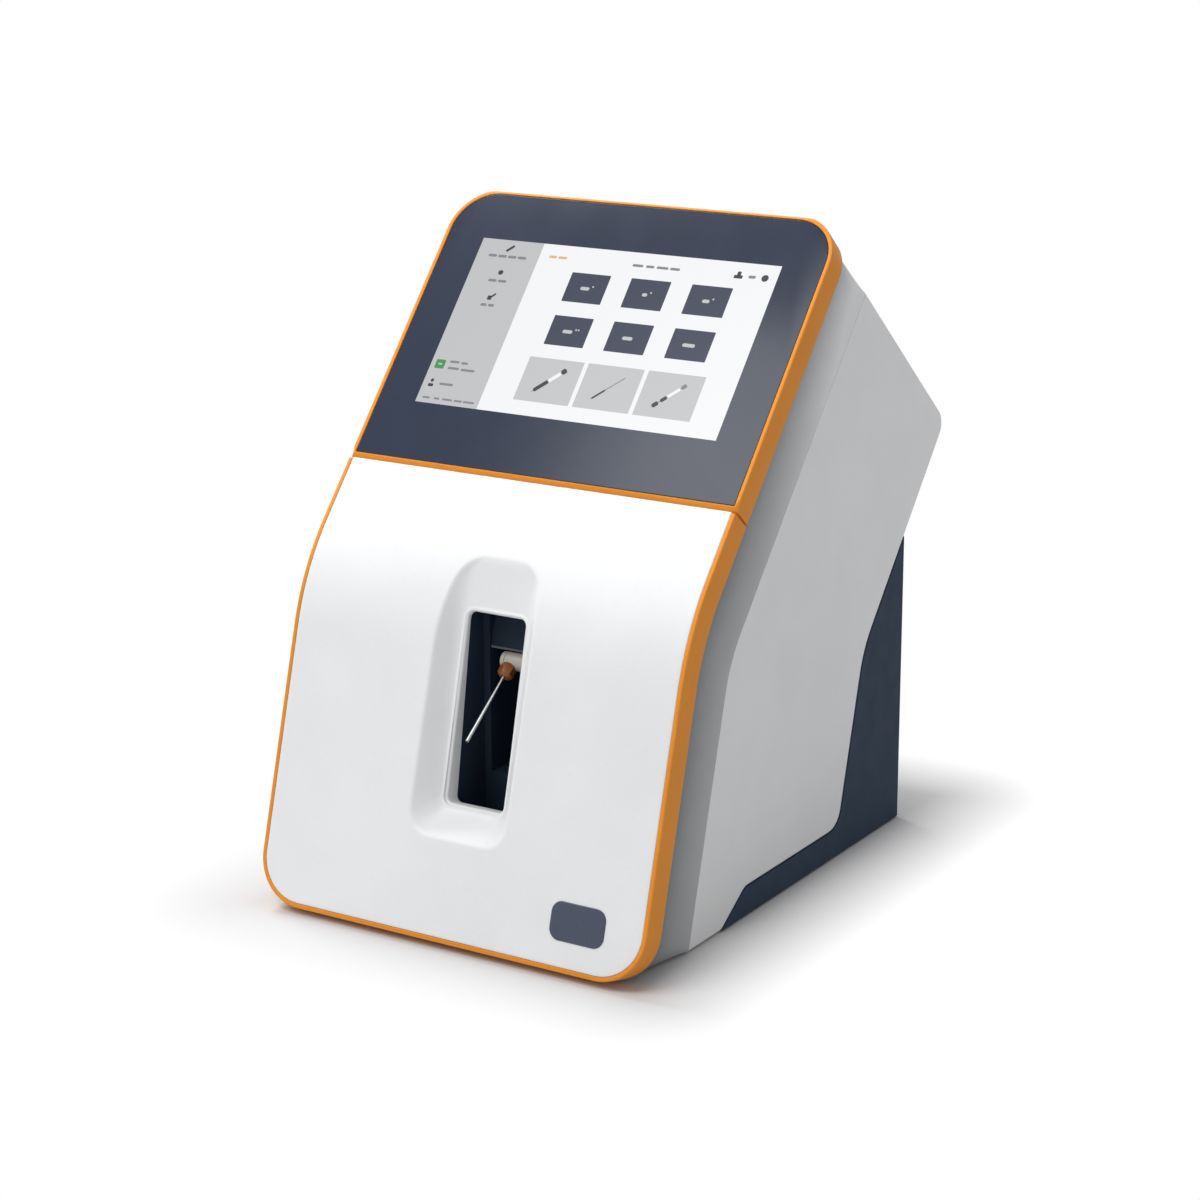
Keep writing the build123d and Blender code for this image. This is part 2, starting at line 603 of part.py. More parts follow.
def casing():
    """White wrap-round casing: top, sides, back and foot in one moulding, open in front."""
    shell = casing_body(0, FRAME_BACK, CASE_HALF)
    sides = [e for e in shell.edges() if abs(abs(e.center().X) - CASE_HALF) < 0.01]
    rear = [e for e in sides if (e.center() - low(0, 0, FRAME_BACK)).dot(LOW_IN) > 3
            and (e.center() - top(0, 0, FRAME_BACK)).dot(TOP_IN) > 3]
    shell = chamfer(rear, CASE_EDGE)
    shell -= casing_body(WALL, FRAME_BACK - 8, CASE_HALF - WALL)
    half, s0, s1 = CABLE_PASS
    shell -= block(low_plane(LOWER_REAR - WALL - 1), -half, half, s0, s1, WALL + 2, 4)
    first = UPPER_LEN - CASE_TOP_IN - 40
    for side in (-1, 1):
        for row in range(VENT_ROWS):
            s = first - row * VENT_PITCH
            x0, x1 = sorted((side * 10, side * 60))
            shell -= block(top_plane(UPPER_REAR - WALL - 1), x0, x1, s, s + VENT_SLOT, WALL + 2)
    for pad in foot_pads(FRONT_FEET):
        shell -= pad
    return shell


FOOT_W, FOOT_L, FOOT_POCKET = 10.0, 20.0, 1.5
FRONT_FEET = ((-72.0, 70.0), (72.0, 70.0))
REAR_FEET = ((-78.0, 241.0), (78.0, 241.0))
PLATE_OPENING = (80.0, 112.0, 228.0)   # half width, front and rear edge of the base plate
PLATE_LEDGE = 6.0


def housing_body(inset, half):
    """Navy rear housing outline, moved inwards by inset."""
    gap = HOUSING_GAP + inset
    _, bend, rear_low, step, _ = casing_lines(-gap)
    ground = Vector(0, 0, UNDER_Z + inset)
    back = Vector(0, REAR_Y - inset, 0)
    up = Vector(0, 0, 1)
    tip = cross(top(0, 0, UPPER_REAR + gap), TOP_UP, back, up)
    slope = Vector(0, FOOT_REAR_Y, UNDER_Z) - FOOT_NORMAL * gap
    toe = cross(ground, BACK_DIR, slope, FOOT_DIR)
    heel = Vector(0, REAR_Y - inset, UNDER_Z + inset)
    return prism([tip, bend, rear_low, step, toe, heel],
                 [0, REAR_BEND_R - gap, REAR_LOW_R + gap, SHELF_R - min(gap, SHELF_R - 1), 0, 0], half)


def back_block(x0, x1, z0, z1, y0, y1, radius=0.0, cut=0.0):
    """Block square to the rear face between two Y values."""
    plane = Plane(origin=(0, y1, 0), x_dir=(-1, 0, 0), z_dir=(0, 1, 0))
    return block(plane, -x1, -x0, z0, z1, y1 - y0, radius, cut)


def back_rod(x, z, y0, y1, radius, bore=0.0):
    return rod(Vector(x, y0, z), BACK_DIR, y1 - y0, radius, bore)


REAR_IN = REAR_Y - WALL            # inside of the rear wall
FAN_X, FAN_Z, FAN_SIZE, FAN_T = 51.0, 84.0, 50.0, 12.0
FAN_BORE = 23.4
FAN_HUB_R = 10.5
FAN_SPINDLE_R = 1.5
INLET_X, INLET_Z = -62.0, 30.0
INLET_W, INLET_H = 27.4, 19.8      # body through the wall
INLET_FLANGE = (37.0, 27.0, 2.0)
SOCKET_W, SOCKET_H, SOCKET_DEPTH = 24.2, 16.4, 16.0
SWITCH_X, SWITCH_Z = -62.0, 62.0
SWITCH_W, SWITCH_H = 13.4, 21.4
IO_BOARD_Z = 64.0
ETHERNET_X, ETHERNET_W, ETHERNET_H = -26.0, 16.2, 13.6
USB_X = (-7.0, 9.0)
USB_W, USB_H = 13.4, 6.2
SOCKET_REACH = 20.0
IO_CLEAR = 0.3
HOUSING_SCREWS = ((-84.0, 12.0), (84.0, 12.0), (-84.0, 88.0), (84.0, 88.0))
SCREW_ACROSS, SCREW_T = 5.0, 1.4


def rear_housing():
    """Navy rear housing: hollow wedge with a level bottom and an upright connector wall."""
    shell = housing_body(0, HOUSING_HALF)
    corners = [e for e in along(shell, Vector(0, 0, 1)) if e.center().Y > REAR_Y - 1]
    shell = chamfer(corners, CASE_EDGE)
    shell -= housing_body(WALL, HOUSING_HALF - WALL)
    half, y0, y1 = PLATE_OPENING
    shell -= box_at(-half, half, y0, y1, UNDER_Z - 1, UNDER_Z + SHEET + 0.1)
    shell -= box_at(-half + PLATE_LEDGE, half - PLATE_LEDGE, y0 + PLATE_LEDGE, y1 - PLATE_LEDGE,
                    UNDER_Z - 1, UNDER_Z + WALL + 1)
    pass_half, s0, s1 = CABLE_PASS
    shell -= block(low_plane(LOWER_REAR - 1), -pass_half, pass_half, s0, s1, WALL + 3, 4)
    out = REAR_Y + 1
    shell -= fan_bar(REAR_IN - 1, out, FAN_BORE)
    shell -= back_block(INLET_X - INLET_W / 2, INLET_X + INLET_W / 2, INLET_Z - INLET_H / 2,
                        INLET_Z + INLET_H / 2, REAR_IN - 1, out)
    shell -= back_block(SWITCH_X - SWITCH_W / 2, SWITCH_X + SWITCH_W / 2, SWITCH_Z - SWITCH_H / 2,
                        SWITCH_Z + SWITCH_H / 2, REAR_IN - 1, out)
    shell -= back_block(ETHERNET_X - ETHERNET_W / 2 - IO_CLEAR, ETHERNET_X + ETHERNET_W / 2 + IO_CLEAR,
                        IO_BOARD_Z - IO_CLEAR, IO_BOARD_Z + ETHERNET_H + IO_CLEAR, REAR_IN - 1, out)
    for x in USB_X:
        shell -= back_block(x - USB_W / 2 - IO_CLEAR, x + USB_W / 2 + IO_CLEAR, IO_BOARD_Z - IO_CLEAR,
                            IO_BOARD_Z + USB_H + IO_CLEAR, REAR_IN - 1, out)
    for x in (ETHERNET_X - 14, USB_X[1] + 12):
        shell += box_at(x - 3, x + 3, REAR_IN - 14, REAR_IN + 0.1, IO_BOARD_Z - BOARD_T - 4, IO_BOARD_Z - BOARD_T)
    for pad in foot_pads(REAR_FEET):
        shell -= pad
    return shell


BASE_ACROSS, BASE_HEAD = 4.6, 0.7
BASE_SCREWS = tuple((x, y) for x in (-76.5, 76.5) for y in (118.0, 170.0, 222.0))


BASE_CLEAR = 0.3
BASE_VENTS, BASE_VENT_Y, BASE_VENT_PITCH, BASE_VENT_HALF, BASE_VENT_W = 7, 140.0, 8.0, 30.0, 3.0


def base_plate():
    """Sheet steel cover in the bottom of the rear housing."""
    half, y0, y1 = PLATE_OPENING
    under = UNDER_Z + 0.1
    plate = box_at(BASE_CLEAR - half, half - BASE_CLEAR, y0 + BASE_CLEAR, y1 - BASE_CLEAR, under, under + SHEET)
    for row in range(BASE_VENTS):
        y = BASE_VENT_Y + row * BASE_VENT_PITCH
        plate -= box_at(-BASE_VENT_HALF, BASE_VENT_HALF, y - BASE_VENT_W / 2, y + BASE_VENT_W / 2, 0,
                        under + SHEET + 1)
    return plate


def screws(places, direction, across, head):
    """Hexagon head screws, one solid each."""
    return Compound([hex_bar(place, direction, head, across) for place in places])


def base_screws():
    return screws([Vector(x, y, UNDER_Z + 0.1) for x, y in BASE_SCREWS], Vector(0, 0, -1), BASE_ACROSS, BASE_HEAD)


def housing_screws():
    return screws([Vector(x, REAR_Y, z) for x, z in HOUSING_SCREWS], BACK_DIR, SCREW_ACROSS, SCREW_T)


def foot_pads(places):
    """Pads from the table to the ends of their pockets."""
    return [box_at(x - FOOT_L / 2, x + FOOT_L / 2, y - FOOT_W / 2, y + FOOT_W / 2, 0, UNDER_Z + FOOT_POCKET)
            for x, y in places]


def rubber_feet():
    """Four pads let into the undersides."""
    return Compound(foot_pads(FRONT_FEET + REAR_FEET))


# ---------------------------------------------------------------- sample port and probe
LINER_HALF = 15.6
LINER_LOW_S, LINER_TOP_S = 52.0, 143.0
LINER_WALL = 2.1
LINER_BACK = 60.0
LINER_GAP = 0.8
LINER_FRONT_MIN = 13.5
LINER_LEDGE = (27.0, 127.0)       # depth of the ledge's face and s of its underside
NICHE_Y, NICHE_Z, NICHE_X = 64.0, 61.0, -12.5   # upright back wall, and the slot for the probe in it
FLANGE_OUT, FLANGE_T = 2.8, 1.6
SHAFT_R = 2.0
BOSS_R = 6.0
MOTOR_X = 23.0
PROBE_MOTOR = 22.0
PIVOT = Vector(0, PIVOT_Y, PIVOT_Z)
PIVOT_S = (PIVOT - CHIN).dot(LOW_UP)
NEEDLE_DIR = Vector(0, -math.cos(math.radians(NEEDLE_ANGLE)), -math.sin(math.radians(NEEDLE_ANGLE)))
ARM_R = 4.8
ARM_X = (-4.6, 9.0)
COLLET_R = 3.6
COLLET_SEAT = 3.4         # from the pivot to the collet's inner end
COLLET_END = 10.5
HUB_REACH = ARM_R + 0.6   # from the pivot to the end of the arm's snout


def port_liner():
    """Dark cup behind the window: a ledge over the probe, an upright back wall with the
    slot that the probe swings in, and a boss for its bearing."""
    half = LINER_HALF + LINER_WALL
    s0, s1 = LINER_LOW_S - LINER_WALL, LINER_TOP_S + LINER_WALL
    deep = LINER_BACK - LINER_FRONT_MIN
    cup = block(low_plane(LINER_FRONT_MIN), -half, half, s0, s1, deep + LINER_WALL)
    cup += block(low_plane(DECK_DEPTH - FLANGE_T), -half - FLANGE_OUT, half + FLANGE_OUT, s0 - 3.5,
                 LINER_FLANGE_TOP, FLANGE_T)
    cup += rod(Vector(half - 0.5, PIVOT_Y, PIVOT_Z), X_DIR, MOTOR_X - half + 0.5, BOSS_R)
    inner = block(low_plane(LINER_FRONT_MIN - 1), -LINER_HALF, LINER_HALF, LINER_LOW_S, LINER_TOP_S, deep + 1)
    slot = box_at(NICHE_X, LINER_HALF, NICHE_Y - 1, NICHE_Y + 100, NICHE_Z, NICHE_Z + 200)
    inner = inner & (slot + box_at(-half, half, -100, NICHE_Y, -50, 250))
    depth, s = LINER_LEDGE
    ledge = block(low_plane(depth), -LINER_HALF - 1, LINER_HALF + 1, s, LINER_TOP_S + 1, LINER_BACK - depth)
    cup = cup - inner + ledge
    cup -= rod(Vector(LINER_HALF - 1, PIVOT_Y, PIVOT_Z), X_DIR, MOTOR_X, SHAFT_R + RUN_FIT)
    return cup - block(sleeve_plane(-60), -60, 60, -80, 160, 60 + LINER_GAP)


STEPPER_CAP = 5.0         # steel stack at each end of a motor
STEPPER_CUT = 3.0
STEPPER_STEP = 0.5


def stepper(start, direction, size, length, shaft_r, seat):
    """Square stepper: two end caps with cut corners, a smaller middle and a shaft bore."""
    plane = Plane(origin=start, x_dir=LOW_UP if abs(direction.X) > 0.5 else X_DIR, z_dir=direction)
    body = extrude(plane * cut_rectangle(size, size, STEPPER_CUT), amount=STEPPER_CAP)
    small = size - 2 * STEPPER_STEP
    body += extrude(plane.offset(STEPPER_CAP) * cut_rectangle(small, small, STEPPER_CUT),
                    amount=length - 2 * STEPPER_CAP)
    body += extrude(plane.offset(length - STEPPER_CAP) * cut_rectangle(size, size, STEPPER_CUT),
                    amount=STEPPER_CAP)
    return body - extrude(plane * Circle(shaft_r + RUN_FIT), amount=seat)


PROBE_MOTOR_LEN, PROBE_SHAFT_IN = 25.0, 8.0


def probe_motor():
    """Small stepper on the liner's boss."""
    return stepper(Vector(MOTOR_X, PIVOT_Y, PIVOT_Z), X_DIR, PROBE_MOTOR, PROBE_MOTOR_LEN, SHAFT_R,
                   PROBE_SHAFT_IN + 1)




def probe_arm():
    """White moulded arm: a hub across the port with a short snout towards the needle."""
    arm = rod(Vector(ARM_X[0], PIVOT_Y, PIVOT_Z), X_DIR, ARM_X[1] - ARM_X[0], ARM_R)
    arm += rod(PIVOT, NEEDLE_DIR, HUB_REACH, COLLET_R + 0.5)
    return arm - hex_bar(PIVOT + NEEDLE_DIR * COLLET_SEAT, NEEDLE_DIR, HUB_REACH, 2 * COLLET_STEM)


COLLET_STEM = 2.6


def probe_shaft():
    return rod(Vector(ARM_X[1], PIVOT_Y, PIVOT_Z), X_DIR, MOTOR_X + PROBE_SHAFT_IN - ARM_X[1], SHAFT_R)


def probe_collet():
    """Amber hexagon nut on a stem that clamps the needle."""
    nut = hex_bar(PIVOT + NEEDLE_DIR * COLLET_SEAT, NEEDLE_DIR, HUB_REACH - COLLET_SEAT, 2 * COLLET_STEM)
    nut += hex_bar(PIVOT + NEEDLE_DIR * HUB_REACH, NEEDLE_DIR, COLLET_END - HUB_REACH, 2 * COLLET_R)
    return nut - rod(PIVOT, NEEDLE_DIR, NEEDLE_REACH, NEEDLE_R)


NEEDLE_BORE_DEPTH = 6.0


def probe_needle():
    """Steel needle, drawn hollow at its open end."""
    needle = rod(PIVOT + NEEDLE_DIR * COLLET_SEAT, NEEDLE_DIR, NEEDLE_REACH - COLLET_SEAT, NEEDLE_R)
    return needle - hex_bar(PIVOT + NEEDLE_DIR * (NEEDLE_REACH - NEEDLE_BORE_DEPTH), NEEDLE_DIR,
                            NEEDLE_BORE_DEPTH + 1, NEEDLE_R)


# ---------------------------------------------------------------- deck, cartridge, pump
LINER_FLANGE_TOP = 117.0
CART_X = (-78.0, -24.0)
CART_S = (38.0, 117.0)
CART_DEPTH = (15.0, 86.0)
CART_GAP = 0.4
GRIP = (-62.0, -40.0, 50.0, 64.0, 10.0)
PUMP_HALF = 26.0
PUMP_FRONT = 16.0
PUMP_FLOOR = 30.0
TRACK_R = ROLLER_RING + ROLLER_R + 2 * TUBE_R + 0.6
TUBE_RING = ROLLER_RING + ROLLER_R + TUBE_R + 0.3
TUBE_DEPTH = 24.0
ROLLER_DEPTH = (20.0, 28.0)
MANIFOLD_S = (16.0, 47.0)
MANIFOLD_X = (28.0, 80.0)
VALVE_X = (38.0, 54.0, 70.0)
VALVE_S = 30.0
PUMP_SHAFT_R = 2.5


DECK_SIDE, DECK_LOW_S, DECK_TOP_S = 2.4, 9.5, 40.0
DECK_CLEAR = 0.3
MOTOR_CLEAR = 1.0
PLUNGER = 6.0             # across the flats of a valve's nose


def deck_plate():
    """Bent sheet steel deck behind the door that carries the fluid parts."""
    deck = bent_slab(DECK_DEPTH, DECK_DEPTH + SHEET, DECK_LOW_S, DECK_TOP_S, RIM_HALF + DECK_SIDE)
    through = low_plane(0)
    far = DECK_DEPTH + 30
    deck -= block(through, CART_X[0] - CART_GAP, CART_X[1] + CART_GAP, CART_S[0] - CART_GAP,
                  CART_S[1] + CART_GAP, far)
    half = LINER_HALF + LINER_WALL + DECK_CLEAR
    deck -= block(through, -half, half, LINER_LOW_S - LINER_WALL - DECK_CLEAR,
                  LINER_TOP_S + LINER_WALL + DECK_CLEAR, far)
    side = PROBE_MOTOR / 2 + MOTOR_CLEAR
    deck -= block(through, half - 1, MOTOR_X + PROBE_MOTOR_LEN + 2 * MOTOR_CLEAR, PIVOT_S - side, PIVOT_S + side, far)
    deck -= chip(through, PUMP_X, PUMP_S, 2 * PUMP_SHAFT_R + 2, 2 * PUMP_SHAFT_R + 2, far)
    for x in VALVE_X:
        deck -= chip(through, x, VALVE_S, PLUNGER + 1, PLUNGER + 1, far)
    return deck


DECK_SCREW_X, DECK_ACROSS, DECK_HEAD = 84.0, 5.5, 2.0


def deck_screws():
    places = [low(side * DECK_SCREW_X, s, DECK_DEPTH) for s in LUG_S for side in (-1, 1)]
    return screws(places, -LOW_IN, DECK_ACROSS, DECK_HEAD)


CART_CORNER = 4.0
CART_BEVEL = 1.5
RIBS, RIB_S, RIB_PITCH, RIB_W, RIB_SINK, RIB_INSET = 5, 84.0, 6.0, 2.0, 1.8, 8.0


def cartridge():
    """Reagent and sensor cartridge: a ribbed box with a finger grip in its front."""
    front, back = CART_DEPTH
    body = block(low_plane(front), *CART_X, *CART_S, back - front, CART_CORNER)
    face = body.faces().sort_by(Axis(low(0, 0, 0), -LOW_IN))[-1]
    body = chamfer(face.edges(), CART_BEVEL)
    x0, x1, s0, s1, deep = GRIP
    body -= block(low_plane(front - 1), x0, x1, s0, s1, deep + 1, 0, 4)
    for k in range(RIBS):
        s = RIB_S + k * RIB_PITCH
        body -= block(low_plane(front - 1), CART_X[0] + RIB_INSET, CART_X[1] - RIB_INSET, s, s + RIB_W, RIB_SINK)
    return body


GUIDE_T = 1.2
GUIDE_END = 1.5           # closed end of the guide
GUIDE_STOP = 2.5          # room behind the cartridge


def cartridge_guide():
    """Sheet sleeve behind the deck that the cartridge slides into."""
    g, t = CART_GAP, CART_GAP + GUIDE_T
    end = CART_DEPTH[1] + GUIDE_STOP
    sleeve = block(low_plane(DECK_DEPTH + SHEET), CART_X[0] - t, CART_X[1] + t, CART_S[0] - t,
                   CART_S[1] + t, end + GUIDE_END - DECK_DEPTH - SHEET)
    return sleeve - block(low_plane(DECK_DEPTH), CART_X[0] - g, CART_X[1] + g, CART_S[0] - g, CART_S[1] + g,
                          end - DECK_DEPTH)


PUMP_CORNER = 6.0


def pump_housing():
    """Peristaltic pump head: a block with a half-round track, open below for the tube."""
    head = block(low_plane(PUMP_FRONT), PUMP_X - PUMP_HALF, PUMP_X + PUMP_HALF, PUMP_S - PUMP_HALF,
                 PUMP_S + PUMP_HALF, DECK_DEPTH - PUMP_FRONT, 0, PUMP_CORNER)
    deep = PUMP_FLOOR - PUMP_FRONT
    head -= rod(low(PUMP_X, PUMP_S, PUMP_FRONT - 1), LOW_IN, deep + 1, TRACK_R)
    head -= block(low_plane(PUMP_FRONT - 1), PUMP_X - TRACK_R, PUMP_X + TRACK_R, PUMP_S - PUMP_HALF - 1,
                  PUMP_S, deep + 1)
    return head - rod(low(PUMP_X, PUMP_S, PUMP_FRONT), LOW_IN, DECK_DEPTH, PUMP_SHAFT_R + RUN_FIT)


PUMP_MOTOR, PUMP_MOTOR_LEN, PUMP_SHAFT_IN = 42.0, 34.0, 8.0


def pump_motor():
    """Stepper behind the deck."""
    return stepper(low(PUMP_X, PUMP_S, DECK_DEPTH + SHEET), LOW_IN, PUMP_MOTOR, PUMP_MOTOR_LEN, PUMP_SHAFT_R,
                   PUMP_SHAFT_IN + 2)


PUMP_NOSE = 18.5          # depth of the shaft's front end


def pump_shaft():
    return rod(low(PUMP_X, PUMP_S, PUMP_NOSE), LOW_IN, DECK_DEPTH + SHEET + PUMP_SHAFT_IN - PUMP_NOSE,
               PUMP_SHAFT_R)


def roller_turns():
    return [math.radians(90 + 360 * k / ROLLERS) for k in range(ROLLERS)]


def roller_centres():
    return [(PUMP_X + ROLLER_RING * math.cos(a), PUMP_S + ROLLER_RING * math.sin(a)) for a in roller_turns()]


ROLLER_PIN_R = 1.2
ROLLER_GAP = 0.3
CARRIER_T = 2.0
CARRIER_BACK_T = 1.4
CARRIER_HUB_R = 6.0
CARRIER_END = 3.2         # half width of the carrier round a roller pin


def carrier_plate(depth, thick):
    """Three-sided plate with a cut end at each roller pin."""
    tip = ROLLER_RING + CARRIER_END
    points = []
    for a in roller_turns():
        for side in (-1, 1):
            along_x, along_s = tip * math.cos(a), tip * math.sin(a)
            points.append((along_x - side * CARRIER_END * math.sin(a), along_s + side * CARRIER_END * math.cos(a)))
    outline = Pos(PUMP_X, PUMP_S) * make_face(Polyline(*points, close=True))
    return extrude(low_plane(depth) * outline, amount=-thick)


def pump_rotor():
    """Roller carrier: two three-sided plates on a hexagonal hub, with the rollers' pins."""
    d0, d1 = ROLLER_DEPTH[0] - ROLLER_GAP, ROLLER_DEPTH[1] + ROLLER_GAP
    rotor = carrier_plate(d0 - CARRIER_T, CARRIER_T) + carrier_plate(d1, CARRIER_BACK_T)
    rotor += hex_bar(low(PUMP_X, PUMP_S, d0 - 0.1), LOW_IN, d1 - d0 + 0.2, 2 * CARRIER_HUB_R)
    for x, s in roller_centres():
        rotor += rod(low(x, s, d0 - 0.1), LOW_IN, d1 - d0 + 0.2, ROLLER_PIN_R)
    return rotor - rod(low(PUMP_X, PUMP_S, 0), LOW_IN, PUMP_FLOOR, PUMP_SHAFT_R)


def pump_roller(x, s):
    d0, d1 = ROLLER_DEPTH
    roller = rod(low(x, s, d0), LOW_IN, d1 - d0, ROLLER_R)
    return roller - rod(low(x, s, d0 - 1), LOW_IN, d1 - d0 + 2, ROLLER_PIN_R + RUN_FIT)


TUBE_SIDES = 8
TUBE_TURNS = 12           # straight steps round the half circle


def pump_tube():
    """Silicone tube: up one side of the track, over the rollers and down to the manifold."""
    turns = [math.pi * (1 - k / TUBE_TURNS) for k in range(TUBE_TURNS + 1)]
    route = [(PUMP_X + TUBE_RING * math.cos(a), PUMP_S + TUBE_RING * math.sin(a)) for a in turns]
    route = [(route[0][0], MANIFOLD_S[1])] + route + [(route[-1][0], MANIFOLD_S[1])]
    points = [low(x, s, TUBE_DEPTH) for x, s in route]
    section = Plane(origin=points[0], x_dir=X_DIR, z_dir=LOW_UP) * RegularPolygon(TUBE_R, TUBE_SIDES)
    return sweep(section, path=Polyline(*points), transition=Transition.RIGHT)


MANIFOLD_FRONT = 19.0
VALVE_NOSE = 17.0         # depth of a valve's front end
VALVE_W, VALVE_H, VALVE_LEN = 13.0, 14.0, 24.0


def valve_manifold():
    """Clear block with the channels between tube, valves and cartridge."""
    body = block(low_plane(MANIFOLD_FRONT), *MANIFOLD_X, *MANIFOLD_S, DECK_DEPTH - MANIFOLD_FRONT, 0, 3)
    for x in VALVE_X:
        body -= hex_bar(low(x, VALVE_S, MANIFOLD_FRONT - 1), LOW_IN, DECK_DEPTH, PLUNGER)
    return body


def solenoid_valves():
    """Three valves: coil behind the deck, hexagonal nose through the manifold."""
    coil = DECK_DEPTH + SHEET
    return Compound([chip(low_plane(coil), x, VALVE_S, VALVE_W, VALVE_H, VALVE_LEN)
                     + hex_bar(low(x, VALVE_S, VALVE_NOSE), LOW_IN, coil + 0.1 - VALVE_NOSE, PLUNGER)
                     for x in VALVE_X])


# ---------------------------------------------------------------- electronics and rear panel
MAIN_POST = 10.0
MAIN_HALF, MAIN_S = 76.0, (70.0, 134.0)
MAIN_POST_S = (76.0, 126.0)
PLUG_X, PLUG_W, PLUG_H, PLUG_T = (-52.0, -34.0, 36.0, 58.0), 12.0, 6.0, 7.0


def main_board():
    """Controller board on stand-offs against the casing's rear wall."""
    front = LOWER_REAR - WALL - MAIN_POST
    board = block(low_plane(front), -MAIN_HALF, MAIN_HALF, *MAIN_S, BOARD_T)
    for x in (POST_INSET - MAIN_HALF, MAIN_HALF - POST_INSET):
        for s in MAIN_POST_S:
            board += hex_bar(low(x, s, front + BOARD_T - 0.1), LOW_IN, MAIN_POST + 0.1 - BOARD_T, POST_ACROSS)
    board += chip(low_plane(front - 2.4), -2, 102, 28, 28, 2.5)
    for x in PLUG_X:
        board += chip(low_plane(front - PLUG_T), x, MAIN_S[0] + PLUG_H / 2 + 2, PLUG_W, PLUG_H, PLUG_T + 0.1)
    return board + chip(low_plane(front - 10), 48, 106, 32, 28, 10.1)


SUPPLY_X, SUPPLY_Y, SUPPLY_TOP = (-30.0, 82.0), (213.0, 249.0), 52.0
SUPPLY_FINS, SUPPLY_FIN_PITCH, SUPPLY_FIN_W, SUPPLY_FIN_H = 9, 11.0, 5.0, 1.5


def power_supply():
    """Enclosed mains supply on the floor of the rear housing, with grooves in its lid."""
    body = box_at(*SUPPLY_X, *SUPPLY_Y, UNDER_Z + WALL, SUPPLY_TOP)
    middle = sum(SUPPLY_X) / 2
    for k in range(SUPPLY_FINS):
        x = middle + (k - (SUPPLY_FINS - 1) / 2) * SUPPLY_FIN_PITCH
        body -= box_at(x - SUPPLY_FIN_W / 2, x + SUPPLY_FIN_W / 2, SUPPLY_Y[0] - 1, SUPPLY_Y[1] + 1,
                       SUPPLY_TOP - SUPPLY_FIN_H, SUPPLY_TOP + 1)
    return body


FAN_CORNER = 3.0
STRUT = 2.5
BLADE_GAP = 1.2           # blade tips to the bore
FAN_SIDES = 40


def fan_bar(y0, y1, radius):
    """Bar of many flats on the fan's axis."""
    plane = Plane(origin=(FAN_X, y0, FAN_Z), x_dir=X_DIR, z_dir=BACK_DIR)
    return extrude(plane * RegularPolygon(radius, FAN_SIDES), amount=y1 - y0)
SPINDLE_REACH = 3.0


def fan_frame():
    """Fan housing with its four struts and bearing hub."""
    y0, y1 = REAR_IN - FAN_T, REAR_IN
    half = FAN_SIZE / 2
    frame = back_block(FAN_X - half, FAN_X + half, FAN_Z - half, FAN_Z + half, y0, y1, 0, FAN_CORNER)
    frame -= fan_bar(y0 - 1, y1 + 1, FAN_BORE)
    strut = Pos((FAN_BORE + 1) / 2, 0, 0) * Box(FAN_BORE + 1, STRUT, STRUT)
    for k in range(4):
        frame += Pos(FAN_X, y0 + STRUT / 2, FAN_Z) * (Rot(0, 45 + 90 * k, 0) * strut)
    frame += fan_bar(y0, y0 + STRUT, FAN_HUB_R - 0.5)
    return frame - back_rod(FAN_X, FAN_Z, y0 - 1, y0 + STRUT + 1, FAN_SPINDLE_R + RUN_FIT)


FAN_BLADES = 7
BLADE_T = 1.1
BLADE_W = 9.0
BLADE_PITCH = 38.0        # blades lie at this angle to the fan's axis
BLADE_ROOT = 0.7          # blade sunk into the hub


def fan_rotor():
    """Fan impeller: hub, spindle and pitched blades."""
    y0 = REAR_IN - FAN_T + STRUT + 0.7
    y1 = REAR_IN - 1.0
    rotor = fan_bar(y0, y1, FAN_HUB_R)
    rotor += back_rod(FAN_X, FAN_Z, y0 - SPINDLE_REACH, y0 + 0.1, FAN_SPINDLE_R)
    root = FAN_HUB_R - BLADE_ROOT
    length = FAN_BORE - BLADE_GAP - root
    blade = Pos(root + length / 2, 0, 0) * (Rot(BLADE_PITCH, 0, 0) * Box(length, BLADE_W, BLADE_T))
    for k in range(FAN_BLADES):
        rotor += Pos(FAN_X, (y0 + y1) / 2, FAN_Z) * (Rot(0, 360 * k / FAN_BLADES, 0) * blade)
    return rotor


GRILLE_SLOTS, GRILLE_PITCH, GRILLE_SLOT = 8, 5.6, 3.8
GRILLE_T = 1.6
GRILLE_RIM = 2.0          # plate beyond the fan's frame
GRILLE_BAR = 2.4          # upright bar in the middle


def fan_grille():
    """Finger guard on the rear wall: level slots inside the fan's circle."""
    half = FAN_SIZE / 2 + GRILLE_RIM
    y0, y1 = REAR_Y, REAR_Y + GRILLE_T
    plate = back_block(FAN_X - half, FAN_X + half, FAN_Z - half, FAN_Z + half, y0, y1, 0, GRILLE_RIM * 2)
    slots = Part()
    for k in range(GRILLE_SLOTS):
        z = FAN_Z + (k - (GRILLE_SLOTS - 1) / 2) * GRILLE_PITCH
        for x0, x1 in ((FAN_X - half, FAN_X - GRILLE_BAR / 2), (FAN_X + GRILLE_BAR / 2, FAN_X + half)):
            slots += back_block(x0, x1, z - GRILLE_SLOT / 2, z + GRILLE_SLOT / 2, y0 - 1, y1 + 1)
    return plate - (slots & fan_bar(y0 - 1, y1 + 1, FAN_BORE - 0.4))


INLET_FIT = 0.1
INLET_CUT = 4.5           # cut corners of the socket
BLADE_PLACES = ((-7.0, -2.0), (7.0, -2.0), (0.0, 2.0))
CONTACT_W, CONTACT_H, CONTACT_IN = 2.0, 4.0, 5.0


